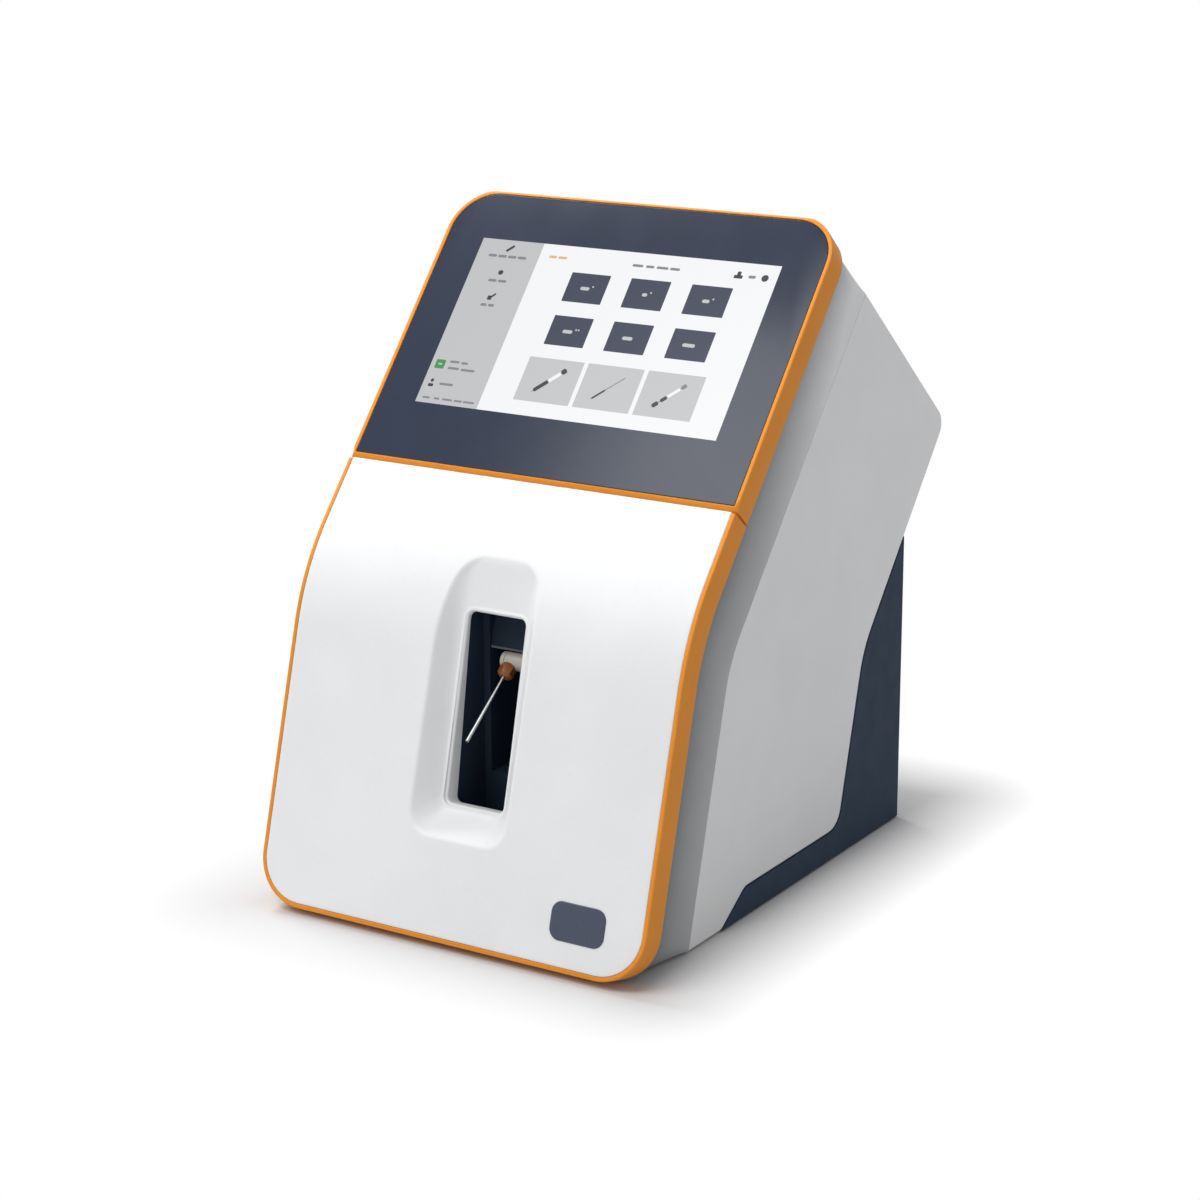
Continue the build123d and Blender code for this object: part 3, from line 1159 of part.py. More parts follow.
def power_inlet():
    """Mains inlet: flanged snap-in body with a socket recess and three blades."""
    w, h, t = INLET_FLANGE
    face, floor = REAR_Y + t, REAR_Y + t - SOCKET_DEPTH
    body = back_block(INLET_X - w / 2, INLET_X + w / 2, INLET_Z - h / 2, INLET_Z + h / 2, REAR_Y, face, 0, 4)
    bw, bh = INLET_W / 2 - INLET_FIT, INLET_H / 2 - INLET_FIT
    body += back_block(INLET_X - bw, INLET_X + bw, INLET_Z - bh, INLET_Z + bh, floor - WALL, REAR_Y + 0.1)
    sw, sh, cut = SOCKET_W / 2, SOCKET_H / 2, INLET_CUT
    outline = [(-sw, -sh), (sw, -sh), (sw, sh - cut), (sw - cut, sh), (-sw + cut, sh), (-sw, sh - cut)]
    plane = Plane(origin=(INLET_X, face, INLET_Z), x_dir=(-1, 0, 0), z_dir=(0, 1, 0))
    body -= extrude(plane * make_face(Polyline(*outline, close=True)), amount=-SOCKET_DEPTH)
    for x, z in BLADE_PLACES:
        body += back_block(INLET_X + x - CONTACT_W / 2, INLET_X + x + CONTACT_W / 2, INLET_Z + z - CONTACT_H / 2,
                           INLET_Z + z + CONTACT_H / 2, floor - 0.1, face - CONTACT_IN)
    return body


ROCKER_Y = REAR_Y - 2.0
ROCKER_TILT = 12.0
ROCKER_HALF = 8.2
ROCKER_W = 9.4
ROCKER_GAP = 0.4
TRUNNION_R = 1.1


BEZEL_W, BEZEL_H, BEZEL_T = 16.0, 25.0, 1.6
SWITCH_DEEP, ROCKER_WELL = 14.0, 8.0
WELL_HALF = 9.6
TRUNNION_REACH = 1.3


def switch_body():
    """Snap-in housing of the power switch with the rocker's bearings."""
    body = back_block(SWITCH_X - BEZEL_W / 2, SWITCH_X + BEZEL_W / 2, SWITCH_Z - BEZEL_H / 2,
                      SWITCH_Z + BEZEL_H / 2, REAR_Y, REAR_Y + BEZEL_T, 0, 2)
    sw, sh = SWITCH_W / 2 - INLET_FIT, SWITCH_H / 2 - INLET_FIT
    body += back_block(SWITCH_X - sw, SWITCH_X + sw, SWITCH_Z - sh, SWITCH_Z + sh, REAR_Y - SWITCH_DEEP, REAR_Y + 0.1)
    well = ROCKER_W / 2 + ROCKER_GAP
    body -= back_block(SWITCH_X - well, SWITCH_X + well, SWITCH_Z - WELL_HALF, SWITCH_Z + WELL_HALF,
                       REAR_Y - ROCKER_WELL, REAR_Y + BEZEL_T + 1)
    reach = ROCKER_W / 2 + TRUNNION_REACH + 0.3
    return body - rod(Vector(SWITCH_X - reach, ROCKER_Y, SWITCH_Z), X_DIR, 2 * reach, TRUNNION_R + RUN_FIT)


def power_rocker():
    """Rocker on two trunnions, resting on its lower half."""
    outline = [(5.6, -ROCKER_HALF), (4.0, 0), (5.6, ROCKER_HALF), (1.5, ROCKER_HALF), (-3.2, 4), (-3.2, -4),
               (1.5, -ROCKER_HALF)]
    plane = Plane(origin=(-ROCKER_W / 2, 0, 0), x_dir=(0, 1, 0), z_dir=(1, 0, 0))
    rocker = extrude(plane * make_face(Polyline(*outline, close=True)), amount=ROCKER_W)
    reach = ROCKER_W / 2 + TRUNNION_REACH
    rocker += rod(Vector(-reach, 0, 0), X_DIR, 2 * reach, TRUNNION_R)
    return Pos(SWITCH_X, ROCKER_Y, SWITCH_Z) * (Rot(-ROCKER_TILT, 0, 0) * rocker)


def io_board():
    """Connector board on two brackets of the rear wall."""
    return box_at(ETHERNET_X - 17, USB_X[1] + 15, REAR_IN - 24, REAR_IN - 0.4, IO_BOARD_Z - BOARD_T, IO_BOARD_Z)


def ethernet_socket():
    """Shielded network jack."""
    x, w, h = ETHERNET_X, ETHERNET_W, ETHERNET_H
    body = box_at(x - w / 2, x + w / 2, REAR_Y - SOCKET_REACH, REAR_Y + 0.3, IO_BOARD_Z, IO_BOARD_Z + h)
    body -= box_at(x - 5.9, x + 5.9, REAR_Y - 13, REAR_Y + 1, IO_BOARD_Z + 4.2, IO_BOARD_Z + 11.6)
    return body - box_at(x - 3, x + 3, REAR_Y - 8, REAR_Y + 1, IO_BOARD_Z + 1.6, IO_BOARD_Z + 4.3)


def usb_sockets():
    """Two flat sockets with their contact tongues."""
    made = []
    for x in USB_X:
        body = box_at(x - USB_W / 2, x + USB_W / 2, REAR_Y - SOCKET_REACH, REAR_Y + 0.3, IO_BOARD_Z,
                      IO_BOARD_Z + USB_H)
        body -= box_at(x - 6.2, x + 6.2, REAR_Y - 12, REAR_Y + 1, IO_BOARD_Z + 0.6, IO_BOARD_Z + USB_H - 0.6)
        made.append(body + box_at(x - 5.6, x + 5.6, REAR_Y - 12.1, REAR_Y - 1, IO_BOARD_Z + 3.4,
                                  IO_BOARD_Z + 5.0))
    return Compound(made)


# ---------------------------------------------------------------- assembly
def assembly():
    """Every piece by node name."""
    makers = [screen_ring, cover_glass, screen_carrier, display_module, display_board, door_ring,
              door_panel, door_strikes, door_badge, door_hinge_leaves, frame_hinge_leaves,
              front_frame, frame_magnets, casing, rear_housing, base_plate, base_screws, housing_screws,
              rubber_feet, port_liner, probe_motor, probe_arm, probe_shaft, probe_collet,
              probe_needle, deck_plate, deck_screws, cartridge, cartridge_guide, pump_housing, pump_motor,
              pump_shaft, pump_rotor, pump_tube, valve_manifold, solenoid_valves, main_board,
              power_supply, fan_frame, fan_rotor, fan_grille, power_inlet, switch_body, power_rocker,
              io_board, ethernet_socket, usb_sockets]
    pieces = {maker.__name__: maker() for maker in makers}
    for k, (x, s) in enumerate(roller_centres(), start=1):
        pieces[f"pump_roller_{k}"] = pump_roller(x, s)
    return pieces


def main():
    os.makedirs("parts", exist_ok=True)
    pieces = assembly()
    boxes = [piece.bounding_box() for piece in pieces.values()]
    middle = (min(b.min.Y for b in boxes) + max(b.max.Y for b in boxes)) / 2
    print(f"origin lies {middle:.4f} mm behind the face frame's zero")
    for name, piece in pieces.items():
        export_step(Pos(0, -middle, 0) * piece, f"parts/{name}.step")
    to_row = Vector(0, -middle, 0)
    for label, point in (("hinge", low(HINGE_X, 0, HINGE_DEPTH)), ("probe", PIVOT),
                         ("pump", low(PUMP_X, PUMP_S, 0)), ("fan", Vector(FAN_X, REAR_IN, FAN_Z)),
                         ("rocker", Vector(SWITCH_X, ROCKER_Y, SWITCH_Z))):
        p = point + to_row
        print(f"{label}: {p.X:.3f} {p.Y:.3f} {p.Z:.3f}")
    for x, s in roller_centres():
        p = low(x, s, 0) + to_row
        print(f"roller: {p.X:.3f} {p.Y:.3f} {p.Z:.3f}")


main()
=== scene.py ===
"""Looks of a benchtop blood gas analyzer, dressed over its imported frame.

Sizes are millimetres in the front frame: x to the user's right, y into the machine, z up
from the table. Meshes are turned into metres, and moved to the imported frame's origin, when
they are made.
"""

from __future__ import annotations

import json
import logging
import math
from dataclasses import dataclass
from enum import Enum

import bmesh
import bpy
import numpy as np
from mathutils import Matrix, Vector

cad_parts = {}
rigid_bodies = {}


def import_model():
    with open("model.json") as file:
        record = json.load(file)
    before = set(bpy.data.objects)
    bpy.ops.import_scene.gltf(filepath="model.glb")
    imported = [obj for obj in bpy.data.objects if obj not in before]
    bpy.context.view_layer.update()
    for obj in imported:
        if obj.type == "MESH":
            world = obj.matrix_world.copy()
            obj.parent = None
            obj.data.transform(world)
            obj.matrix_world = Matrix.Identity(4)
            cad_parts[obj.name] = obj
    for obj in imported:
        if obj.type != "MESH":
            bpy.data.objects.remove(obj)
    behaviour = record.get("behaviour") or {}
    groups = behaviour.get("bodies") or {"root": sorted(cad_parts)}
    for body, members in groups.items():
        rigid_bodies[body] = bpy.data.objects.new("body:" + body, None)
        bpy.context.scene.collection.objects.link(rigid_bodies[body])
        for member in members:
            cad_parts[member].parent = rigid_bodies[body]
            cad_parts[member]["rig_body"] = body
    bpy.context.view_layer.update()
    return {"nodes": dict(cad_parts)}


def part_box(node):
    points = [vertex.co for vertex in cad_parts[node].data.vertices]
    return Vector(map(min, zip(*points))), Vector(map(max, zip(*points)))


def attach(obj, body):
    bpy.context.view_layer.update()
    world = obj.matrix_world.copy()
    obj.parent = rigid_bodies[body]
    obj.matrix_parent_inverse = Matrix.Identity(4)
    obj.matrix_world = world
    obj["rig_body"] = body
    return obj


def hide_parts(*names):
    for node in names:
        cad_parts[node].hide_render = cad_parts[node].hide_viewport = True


LOG = logging.getLogger("analyzer")
MM = 0.001
# The attribute below holds painted shade and painted light: at 0 the frame takes the deep colour,
# at 1 its own.
PAINTED_LIGHT_ATTRIBUTE = "share"         # name of the mesh attribute that the flared plastic reads
LOWER_TILT = 15.75      # lean of the two front faces from the vertical, in degrees
UPPER_TILT = 40.7
REAR_Y = 255.5          # rear face in the front frame
CREASE = 34.0           # edges that turn by more degrees stay crisp
WELD = 2e-6             # points nearer than this, in metres, are one
SLIVER = 1e-7           # edges shorter than this, in metres, are dissolved
FLAT = 0.6              # faces that differ by less, in degrees, are joined
Array = np.ndarray
Socket = bpy.types.NodeSocket
Colour = tuple[float, float, float]
Solid = tuple[Array, list]


# ------------------------------------------------------------------ materials
def linear(colour: Colour) -> tuple[float, float, float, float]:
    """Turn a colour of 0 to 255 steps into linear light.

    Args:
        colour: red, green and blue as seen on a screen.

    Returns:
        The same colour as the shaders count it, with an alpha of one.
    """
    c = np.array(colour) / 255
    lin = np.where(c <= 0.04045, c / 12.92, ((c + 0.055) / 1.055) ** 2.4)
    return (*(float(v) for v in lin), 1.0)


class Graph:
    """Node tree of one material, filled step by step."""

    def __init__(self, name: str) -> None:
        """Start a material with a Principled shader.

        Args:
            name: name of the material.
        """
        self.material = bpy.data.materials.new(name)
        self.material.use_nodes = True
        self.tree = self.material.node_tree
        self.tree.nodes.clear()
        self.out = self.tree.nodes.new("ShaderNodeOutputMaterial")
        self.shader = self.tree.nodes.new("ShaderNodeBsdfPrincipled")
        self.tree.links.new(self.shader.outputs[0], self.out.inputs[0])
        self.place = self.tree.nodes.new("ShaderNodeTexCoord").outputs["Object"]

    def node(self, kind: str, inputs: dict | None = None, **settings: object) -> bpy.types.Node:
        """Add one node.

        Args:
            kind: type of the node, without its ShaderNode prefix.
            inputs: socket name or number to a value or to another socket.
            settings: plain properties of the node.

        Returns:
            The new node.
        """
        made = self.tree.nodes.new("ShaderNode" + kind)
        for key, value in settings.items():
            setattr(made, key, value)
        for key, value in (inputs or {}).items():
            if isinstance(value, Socket):
                self.tree.links.new(value, made.inputs[key])
            else:
                made.inputs[key].default_value = value
        return made

    def stretched(self, scale: tuple[float, float, float], turn: float = 0.0) -> Socket:
        """Object coordinates turned about x and stretched.

        Args:
            scale: factor along each axis.
            turn: angle about x in degrees.

        Returns:
            The socket with the new coordinates.
        """
        about_x = {"Vector": self.place, "Rotation": (math.radians(turn), 0, 0)}
        turned = self.node("Mapping", about_x).outputs[0]
        return self.node("Mapping", {"Vector": turned, "Scale": scale}).outputs[0]

    def noise(self, size: float, detail: float = 3.0, place: Socket | None = None) -> Socket:
        """Cloudy pattern of a grain size.

        Args:
            size: size of one patch in millimetres.
            detail: octaves of finer patches.
            place: coordinates, or the plain object coordinates.

        Returns:
            The pattern's value.
        """
        return self.node("TexNoise", {"Vector": place or self.place, "Scale": 1 / (size * MM),
                                      "Detail": detail}).outputs[0]

    def spread(self, value: Socket, low: float, high: float, to_low: float,
               to_high: float) -> Socket:
        """Map one range of a value on another, clamped.

        Args:
            value: the incoming value.
            low: lower end of what comes in.
            high: upper end of what comes in.
            to_low: what the lower end becomes.
            to_high: what the upper end becomes.

        Returns:
            The mapped value.
        """
        ends = {1: low, 2: high, 3: to_low, 4: to_high}
        return self.node("MapRange", {"Value": value, **ends}).outputs[0]

    def blend(self, factor: object, one: object, other: object, how: str = "MIX") -> Socket:
        """Blend two colours, each a socket or linear light.

        Args:
            factor: nothing of the other at 0, all of it at 1.
            one: first colour.
            other: second colour.
            how: the blend's kind.

        Returns:
            The blended colour.
        """
        made = self.node("Mix", {0: factor, 6: one, 7: other}, data_type="RGBA", blend_type=how)
        return made.outputs[2]

    def tint(self, factor: Socket, one: Colour, other: Colour) -> Socket:
        """Colour between two others.

        Args:
            factor: nothing of the other at 0, all of it at 1.
            one: first colour, 0 to 255.
            other: second colour, 0 to 255.

        Returns:
            The mixed colour.
        """
        return self.blend(factor, linear(one), linear(other))

    def relief(self, height: Socket, depth: float, under: Socket | None = None) -> Socket:
        """Bump from a height pattern.

        Args:
            height: pattern from 0 to 1.
            depth: height of the relief in millimetres.
            under: normal of a coarser relief below it.

        Returns:
            The bumped normal.
        """
        inputs = {"Height": height, "Distance": depth * MM, "Strength": 1.0}
        if under is not None:
            inputs["Normal"] = under
        return self.node("Bump", inputs).outputs[0]

    def set(self, **sockets: object) -> None:
        """Fill the shader's sockets.

        Args:
            sockets: names with underscores for spaces, each with a value or a socket.
        """
        for key, value in sockets.items():
            socket = self.shader.inputs[key.replace("_", " ")]
            if isinstance(value, Socket):
                self.tree.links.new(value, socket)
            else:
                socket.default_value = value


def shade(colour: Colour, factor: float) -> Colour:
    """A lighter or darker version of a colour."""
    return tuple(min(255.0, c * factor) for c in colour)


@dataclass(frozen=True)
class Finish:
    """What every finish has: a name, the record's slot, a colour and a roughness."""

    name: str
    slot: str
    colour: Colour
    roughness: float = 0.45

    def dress(self, g: Graph) -> None:
        """Fill the material's nodes.

        Args:
            g: the material's tree.
        """
        g.set(Base_Color=linear(self.colour), Roughness=self.roughness)

    def build(self) -> bpy.types.Material:
        """Make the material, with its colour for the plain viewport too."""
        g = Graph(self.name)
        self.dress(g)
        g.material.diffuse_color = linear(self.colour)
        return g.material


@dataclass(frozen=True)
class MouldedPlastic(Finish):
    """Injection moulded plastic: fine spark-eroded grain, slow sink and faint shade drift.

    The sizes of grain, patch, speck, cloud and sink are those of their patterns.
    """

    grain: float = 0.35
    relief: float = 0.006
    drift: float = 0.985
    coat: float = 0.0
    gloss: float = 0.5
    patch: float = 38.0
    speck: float = 1.1
    cloud: float = 9.0
    sink: float = 70.0
    sink_depth: float = 0.02
    dust: float = 0.06

    def base(self, g: Graph) -> Socket:
        """Colour that drifts a little in broad patches.

        Args:
            g: the material's tree.

        Returns:
            The colour.
        """
        patches = g.spread(g.noise(self.patch, 2), 0.35, 0.65, 0, 1)
        return g.tint(patches, self.colour, shade(self.colour, self.drift))

    def dress(self, g: Graph) -> None:
        """Grain for the bump, broad patches for shade and gloss, tiny dust specks.

        Args:
            g: the material's tree.
        """
        specks = g.spread(g.noise(self.speck, 1), 0.66, 0.74, 0, self.dust)
        dusty = g.blend(specks, self.base(g), linear(shade(self.colour, 0.6)))
        rough = g.spread(g.noise(self.cloud, 3), 0.3, 0.7, self.roughness * 0.93,
                         self.roughness * 1.07)
        sink = g.relief(g.noise(self.sink, 1), self.sink_depth)
        g.set(Base_Color=dusty, Roughness=rough,
              Normal=g.relief(g.noise(self.grain, 2), self.relief, sink),
              Coat_Weight=self.coat, Coat_Roughness=0.12, Specular_IOR_Level=self.gloss)


@dataclass(frozen=True)
class ShadePaintedPlastic(MouldedPlastic):
    """Plastic of a flared band with painted shade: a deep colour where the ring shades its front
    edge, its own colour elsewhere, by the mesh's attribute.
    """

    # deep is the colour of the painted shade.
    deep: Colour = (120, 121, 124)

    def base(self, g: Graph) -> Socket:
        """Painted shade colour at share 0 of the mesh's own attribute, the plain colour at share 1.

        Args:
            g: the material's tree.

        Returns:
            The colour.
        """
        # Painted shade: the attribute blends the deep colour over the plain one.
        share = g.node("Attribute", attribute_name=PAINTED_LIGHT_ATTRIBUTE).outputs["Fac"]
        return g.blend(share, linear(self.deep), super().base(g))


@dataclass(frozen=True)
class BrushedMetal(Finish):
    """Rolled or brushed metal: long fine scratches and cloudy gloss.

    Along is the factor of the scratches on each axis, small along their length.
    """

    along: tuple[float, float, float] = (0.02, 1.0, 1.0)
    relief: float = 0.003
    scratch: float = 0.25
    cloud: float = 14.0

    def dress(self, g: Graph) -> None:
        """Noise stretched along one axis drives relief and roughness.

        Args:
            g: the material's tree.
        """
        lines = g.noise(self.scratch, 2, g.stretched(self.along, -LOWER_TILT))
        cloud = g.spread(g.noise(self.cloud, 3), 0.3, 0.7, 0.85, 1.15)
        fine = g.spread(lines, 0.3, 0.7, self.roughness * 0.8, self.roughness * 1.2)
        rough = g.node("Math", {0: cloud, 1: fine}, operation="MULTIPLY").outputs[0]
        base = g.tint(g.spread(lines, 0.3, 0.7, 0, 1), self.colour, shade(self.colour, 0.88))
        g.set(Base_Color=base, Roughness=rough, Normal=g.relief(lines, self.relief), Metallic=1.0)


@dataclass(frozen=True)
class CoverGlass(Finish):
    """Glass printed navy on its back: deep colour under a smooth clear face, faint smears."""

    smear: float = 26.0
    ior: float = 1.42

    def dress(self, g: Graph) -> None:
        """Smear patches roughen the face slightly over the printed colour.

        Args:
            g: the material's tree.
        """
        smear = g.noise(self.smear, 4, g.stretched((1.0, 0.5, 1.6), -UPPER_TILT))
        base = g.tint(g.spread(smear, 0.35, 0.65, 0, 1), self.colour, shade(self.colour, 1.05))
        rough = g.spread(smear, 0.4, 0.75, self.roughness, self.roughness * 1.15)
        g.set(Base_Color=base, Roughness=rough, IOR=self.ior)


@dataclass(frozen=True)
class LitPicture(Finish):
    """Backlit picture element: its own light through the clear face, with a pixel weave."""

    glow: float = 0.9
    weave: float = 0.3
    gloss: float = 0.3

    def dress(self, g: Graph) -> None:
        """Emission of the colour, dimmed a little between pixel rows.

        Args:
            g: the material's tree.
        """
        weave = g.spread(g.noise(self.weave, 0), 0.3, 0.7, 0.985, 1.0)
        light = g.blend(1.0, linear(self.colour), weave, "MULTIPLY")
        g.set(Base_Color=(0.004, 0.004, 0.005, 1.0), Roughness=self.roughness,
              Emission_Color=light, Emission_Strength=self.glow, Specular_IOR_Level=self.gloss)


@dataclass(frozen=True)
class ClearPlastic(Finish):
    """Clear moulding such as acrylic or silicone, slightly cloudy."""

    through: float = 0.8
    ior: float = 1.49
    flow: float = 4.0

    def dress(self, g: Graph) -> None:
        """Light passes through with a faint tint, and flow lines vary the roughness.

        Args:
            g: the material's tree.
        """
        flow = g.noise(self.flow, 3, g.stretched((1.0, 0.3, 1.0)))
        base = g.tint(g.spread(flow, 0.3, 0.7, 0, 1), self.colour, shade(self.colour, 0.96))
        rough = g.spread(flow, 0.3, 0.7, self.roughness * 0.8, self.roughness * 1.3)
        g.set(Base_Color=base, Roughness=rough, Transmission_Weight=self.through, IOR=self.ior)


@dataclass(frozen=True)
class CircuitBoard(Finish):
    """Solder mask over copper: faint tracks under a green lacquer.

    Cells is the number of cells in a metre.
    """

    cells: float = 320.0
    coat: float = 0.4

    def dress(self, g: Graph) -> None:
        """Square cells of a cell pattern read as copper areas under the mask.

        Args:
            g: the material's tree.
        """
        cells = g.node("TexVoronoi", {"Vector": g.place, "Scale": self.cells},
                       distance="CHEBYCHEV").outputs[0]
        tracks = g.spread(cells, 0.28, 0.34, 0, 1)
        base = g.tint(tracks, shade(self.colour, 1.35), self.colour)
        g.set(Base_Color=base, Roughness=g.spread(g.noise(3, 2), 0.3, 0.7, 0.28, 0.42),
              Normal=g.relief(tracks, 0.02), Coat_Weight=self.coat)


@dataclass(frozen=True)
class Rubber(Finish):
    """Soft dark rubber with a pitted skin; pits is their number in a metre."""

    pits: float = 2200.0

    def dress(self, g: Graph) -> None:
        """Pits from a fine cell pattern, dusty lighter patches.

        Args:
            g: the material's tree.
        """
        pits = g.node("TexVoronoi", {"Vector": g.place, "Scale": self.pits}).outputs[0]
        dusty = g.spread(g.noise(5, 4), 0.4, 0.75, 0, 1)
        base = g.tint(dusty, self.colour, shade(self.colour, 1.5))
        g.set(Base_Color=base, Roughness=self.roughness, Normal=g.relief(pits, 0.02))


class Look(Enum):
    """Every finish on the analyzer, by what it is used for."""

    ORANGE = MouldedPlastic("ring_orange", "orange_plastic", (235, 150, 52), 0.45, grain=0.5,
                            relief=0.002, drift=0.98, gloss=0.15)
    WHITE = MouldedPlastic("housing_white", "white_plastic", (238, 239, 240), 0.42)
    # The frame's own colour is near white. Its grey is the deep colour painted over it as shade by
    # the mesh's attribute, and it is lighter again at the top as painted light. The apron lip
    # carries no such attribute and is the deep colour all over.
    GREY = ShadePaintedPlastic("frame_grey", "grey_plastic", (240, 241, 242), 0.6, grain=0.6,
                         relief=0.012, gloss=0.3, deep=(112, 115, 119))
    NAVY = MouldedPlastic("rear_navy", "navy_plastic", (48, 62, 80), 0.7, grain=0.7, relief=0.02,
                          gloss=0.15)
    LINER = MouldedPlastic("port_navy", "dark_liner", (40, 52, 68), 0.6, grain=0.6, relief=0.014,
                           gloss=0.2)
    BLACK = MouldedPlastic("inner_black", "black_plastic", (24, 24, 26), 0.5, grain=0.6,
                           relief=0.014)
    BADGE = MouldedPlastic("badge_navy", "badge_navy", (43, 54, 80), 0.28, relief=0.002, coat=0.5)
    GLASS = CoverGlass("cover_glass", "cover_glass", (8, 27, 53), 0.2)
    ACETAL = MouldedPlastic("acetal_white", "acetal", (226, 224, 218), 0.4, grain=0.8,
                            relief=0.004)
    HUB = MouldedPlastic("arm_white", "acetal", (184, 176, 168), 0.45, grain=0.8, relief=0.004)
    AMBER = MouldedPlastic("collet_amber", "amber_plastic", (138, 80, 34), 0.35, relief=0.003,
                           coat=0.1)
    CARTRIDGE = MouldedPlastic("cartridge_pale", "cartridge_plastic", (214, 220, 224), 0.4)
    CARTRIDGE_GUIDE = BrushedMetal("guide_zinc", "zinc_steel", (176, 178, 180), 0.38)
    ZINC = BrushedMetal("deck_zinc", "zinc_steel", (182, 184, 186), 0.36)
    STEEL = BrushedMetal("needle_steel", "polished_steel", (170, 171, 174), 0.3,
                         along=(1, 1, 0.05), relief=0.001)
    BLACK_STEEL = BrushedMetal("screw_steel", "polished_steel", (150, 150, 152), 0.3,
                               relief=0.002)
    NICKEL = BrushedMetal("nickel_plate", "nickel", (196, 192, 184), 0.22, relief=0.001)
    MOTOR = BrushedMetal("motor_dark", "motor_body", (92, 94, 98), 0.42)
    CLEAR = ClearPlastic("valve_acrylic", "acrylic", (236, 242, 246), 0.08, through=0.85)
    TUBE = ClearPlastic("tube_silicone", "silicone", (238, 236, 230), 0.32, through=0.45, ior=1.41)
    BOARD = CircuitBoard("board_green", "circuit_board", (22, 66, 44))
    RUBBER = Rubber("foot_rubber", "rubber", (28, 28, 30), 0.85)
    INK_WHITE = LitPicture("picture_white", "display", (250, 251, 252), 0.25)
    INK_SIDE = LitPicture("picture_side", "display", (197, 198, 200), 0.25)
    INK_PALE = LitPicture("picture_pale", "display", (200, 201, 203), 0.25)
    INK_NAVY = LitPicture("picture_navy", "display", (36, 46, 74), 0.25)
    INK_DARK = LitPicture("picture_dark", "display", (40, 42, 50), 0.25)
    INK_GREY = LitPicture("picture_grey", "display", (132, 134, 140), 0.25)
    INK_ORANGE = LitPicture("picture_orange", "display", (236, 186, 130), 0.25)
    INK_GREEN = LitPicture("picture_green", "display", (52, 150, 70), 0.25)


# ------------------------------------------------------------------ mesh code
def chain_faces(rings: int, points: int, closed: bool) -> Array:
    """Quads between neighbouring closed loops of a chain.

    Args:
        rings: number of loops.
        points: points in each loop.
        closed: whether the last loop joins the first.

    Returns:
        Four vertex numbers for each quad.
    """
    i, j = np.meshgrid(np.arange(rings if closed else rings - 1), np.arange(points), indexing="ij")
    here, ahead = i * points, (i + 1) % rings * points
    turn = (j + 1) % points
    return np.stack([here + j, here + turn, ahead + turn, ahead + j], -1).reshape(-1, 4)


def finish_mesh(name: str, verts: Array, faces: list, sharp: float = CREASE,
                share: Array | None = None) -> bpy.types.Mesh:
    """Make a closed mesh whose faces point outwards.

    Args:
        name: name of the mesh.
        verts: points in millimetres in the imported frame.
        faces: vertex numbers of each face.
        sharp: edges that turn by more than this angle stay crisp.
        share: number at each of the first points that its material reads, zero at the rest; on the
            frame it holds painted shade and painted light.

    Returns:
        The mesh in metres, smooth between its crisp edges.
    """
    mesh = bpy.data.meshes.new(name)
    mesh.from_pydata((verts * MM).tolist(), [], faces)
    if share is not None:
        values = np.zeros(len(mesh.vertices), np.float32)
        values[:len(share)] = share
        mesh.attributes.new(PAINTED_LIGHT_ATTRIBUTE, "FLOAT", "POINT").data.foreach_set("value", values)
    bm = bmesh.new()
    bm.from_mesh(mesh)
    bmesh.ops.remove_doubles(bm, verts=bm.verts, dist=WELD)
    bmesh.ops.dissolve_degenerate(bm, edges=bm.edges, dist=SLIVER)
    bmesh.ops.recalc_face_normals(bm, faces=bm.faces)
    bm.to_mesh(mesh)
    bm.free()
    mesh.shade_smooth()
    mesh.set_sharp_from_angle(angle=math.radians(sharp))
    return mesh


def merged(shells: list[Solid]) -> Solid:
    """Several closed shells as one list of points and one of faces.

    Args:
        shells: points and faces of each shell, numbered from its own first point.

    Returns:
        All points, and all faces numbered through.
    """
    faces, start = [], 0
    for verts, own in shells:
        faces += [[number + start for number in face] for face in own]
        start += len(verts)
    return np.concatenate([verts for verts, _ in shells]), faces


def chain(loops: Array, closed: bool = False) -> Solid:
    """Closed shell from a chain of loops, capped at both ends unless the chain closes.

    Args:
        loops: points of shape (loops, points, 3).
        closed: whether the last loop joins the first.

    Returns:
        Points and faces.
    """
    rings, points = loops.shape[:2]
    faces = chain_faces(rings, points, closed).tolist()
    if not closed:
        faces.append(list(range(points))[::-1])
        faces.append([(rings - 1) * points + k for k in range(points)])
    return loops.reshape(-1, 3), faces


@dataclass(frozen=True)
class Sampling:
    """How an outline is divided: points in each corner and shares along each side."""

    arc: int
    bottom: Array
    right: Array
    top: Array
    left: Array

    @classmethod
    def even(cls, arc: int, across: int = 0, up: int = 0) -> "Sampling":
        """Even shares along the sides.

        Args:
            arc: points in each corner.
            across: points along bottom and top.
            up: points along each upright side.

        Returns:
            The sampling.
        """
        flat = (np.arange(across) + 1) / (across + 1)
        upright = (np.arange(up) + 1) / (up + 1)
        return cls(arc, flat, upright, flat, upright)


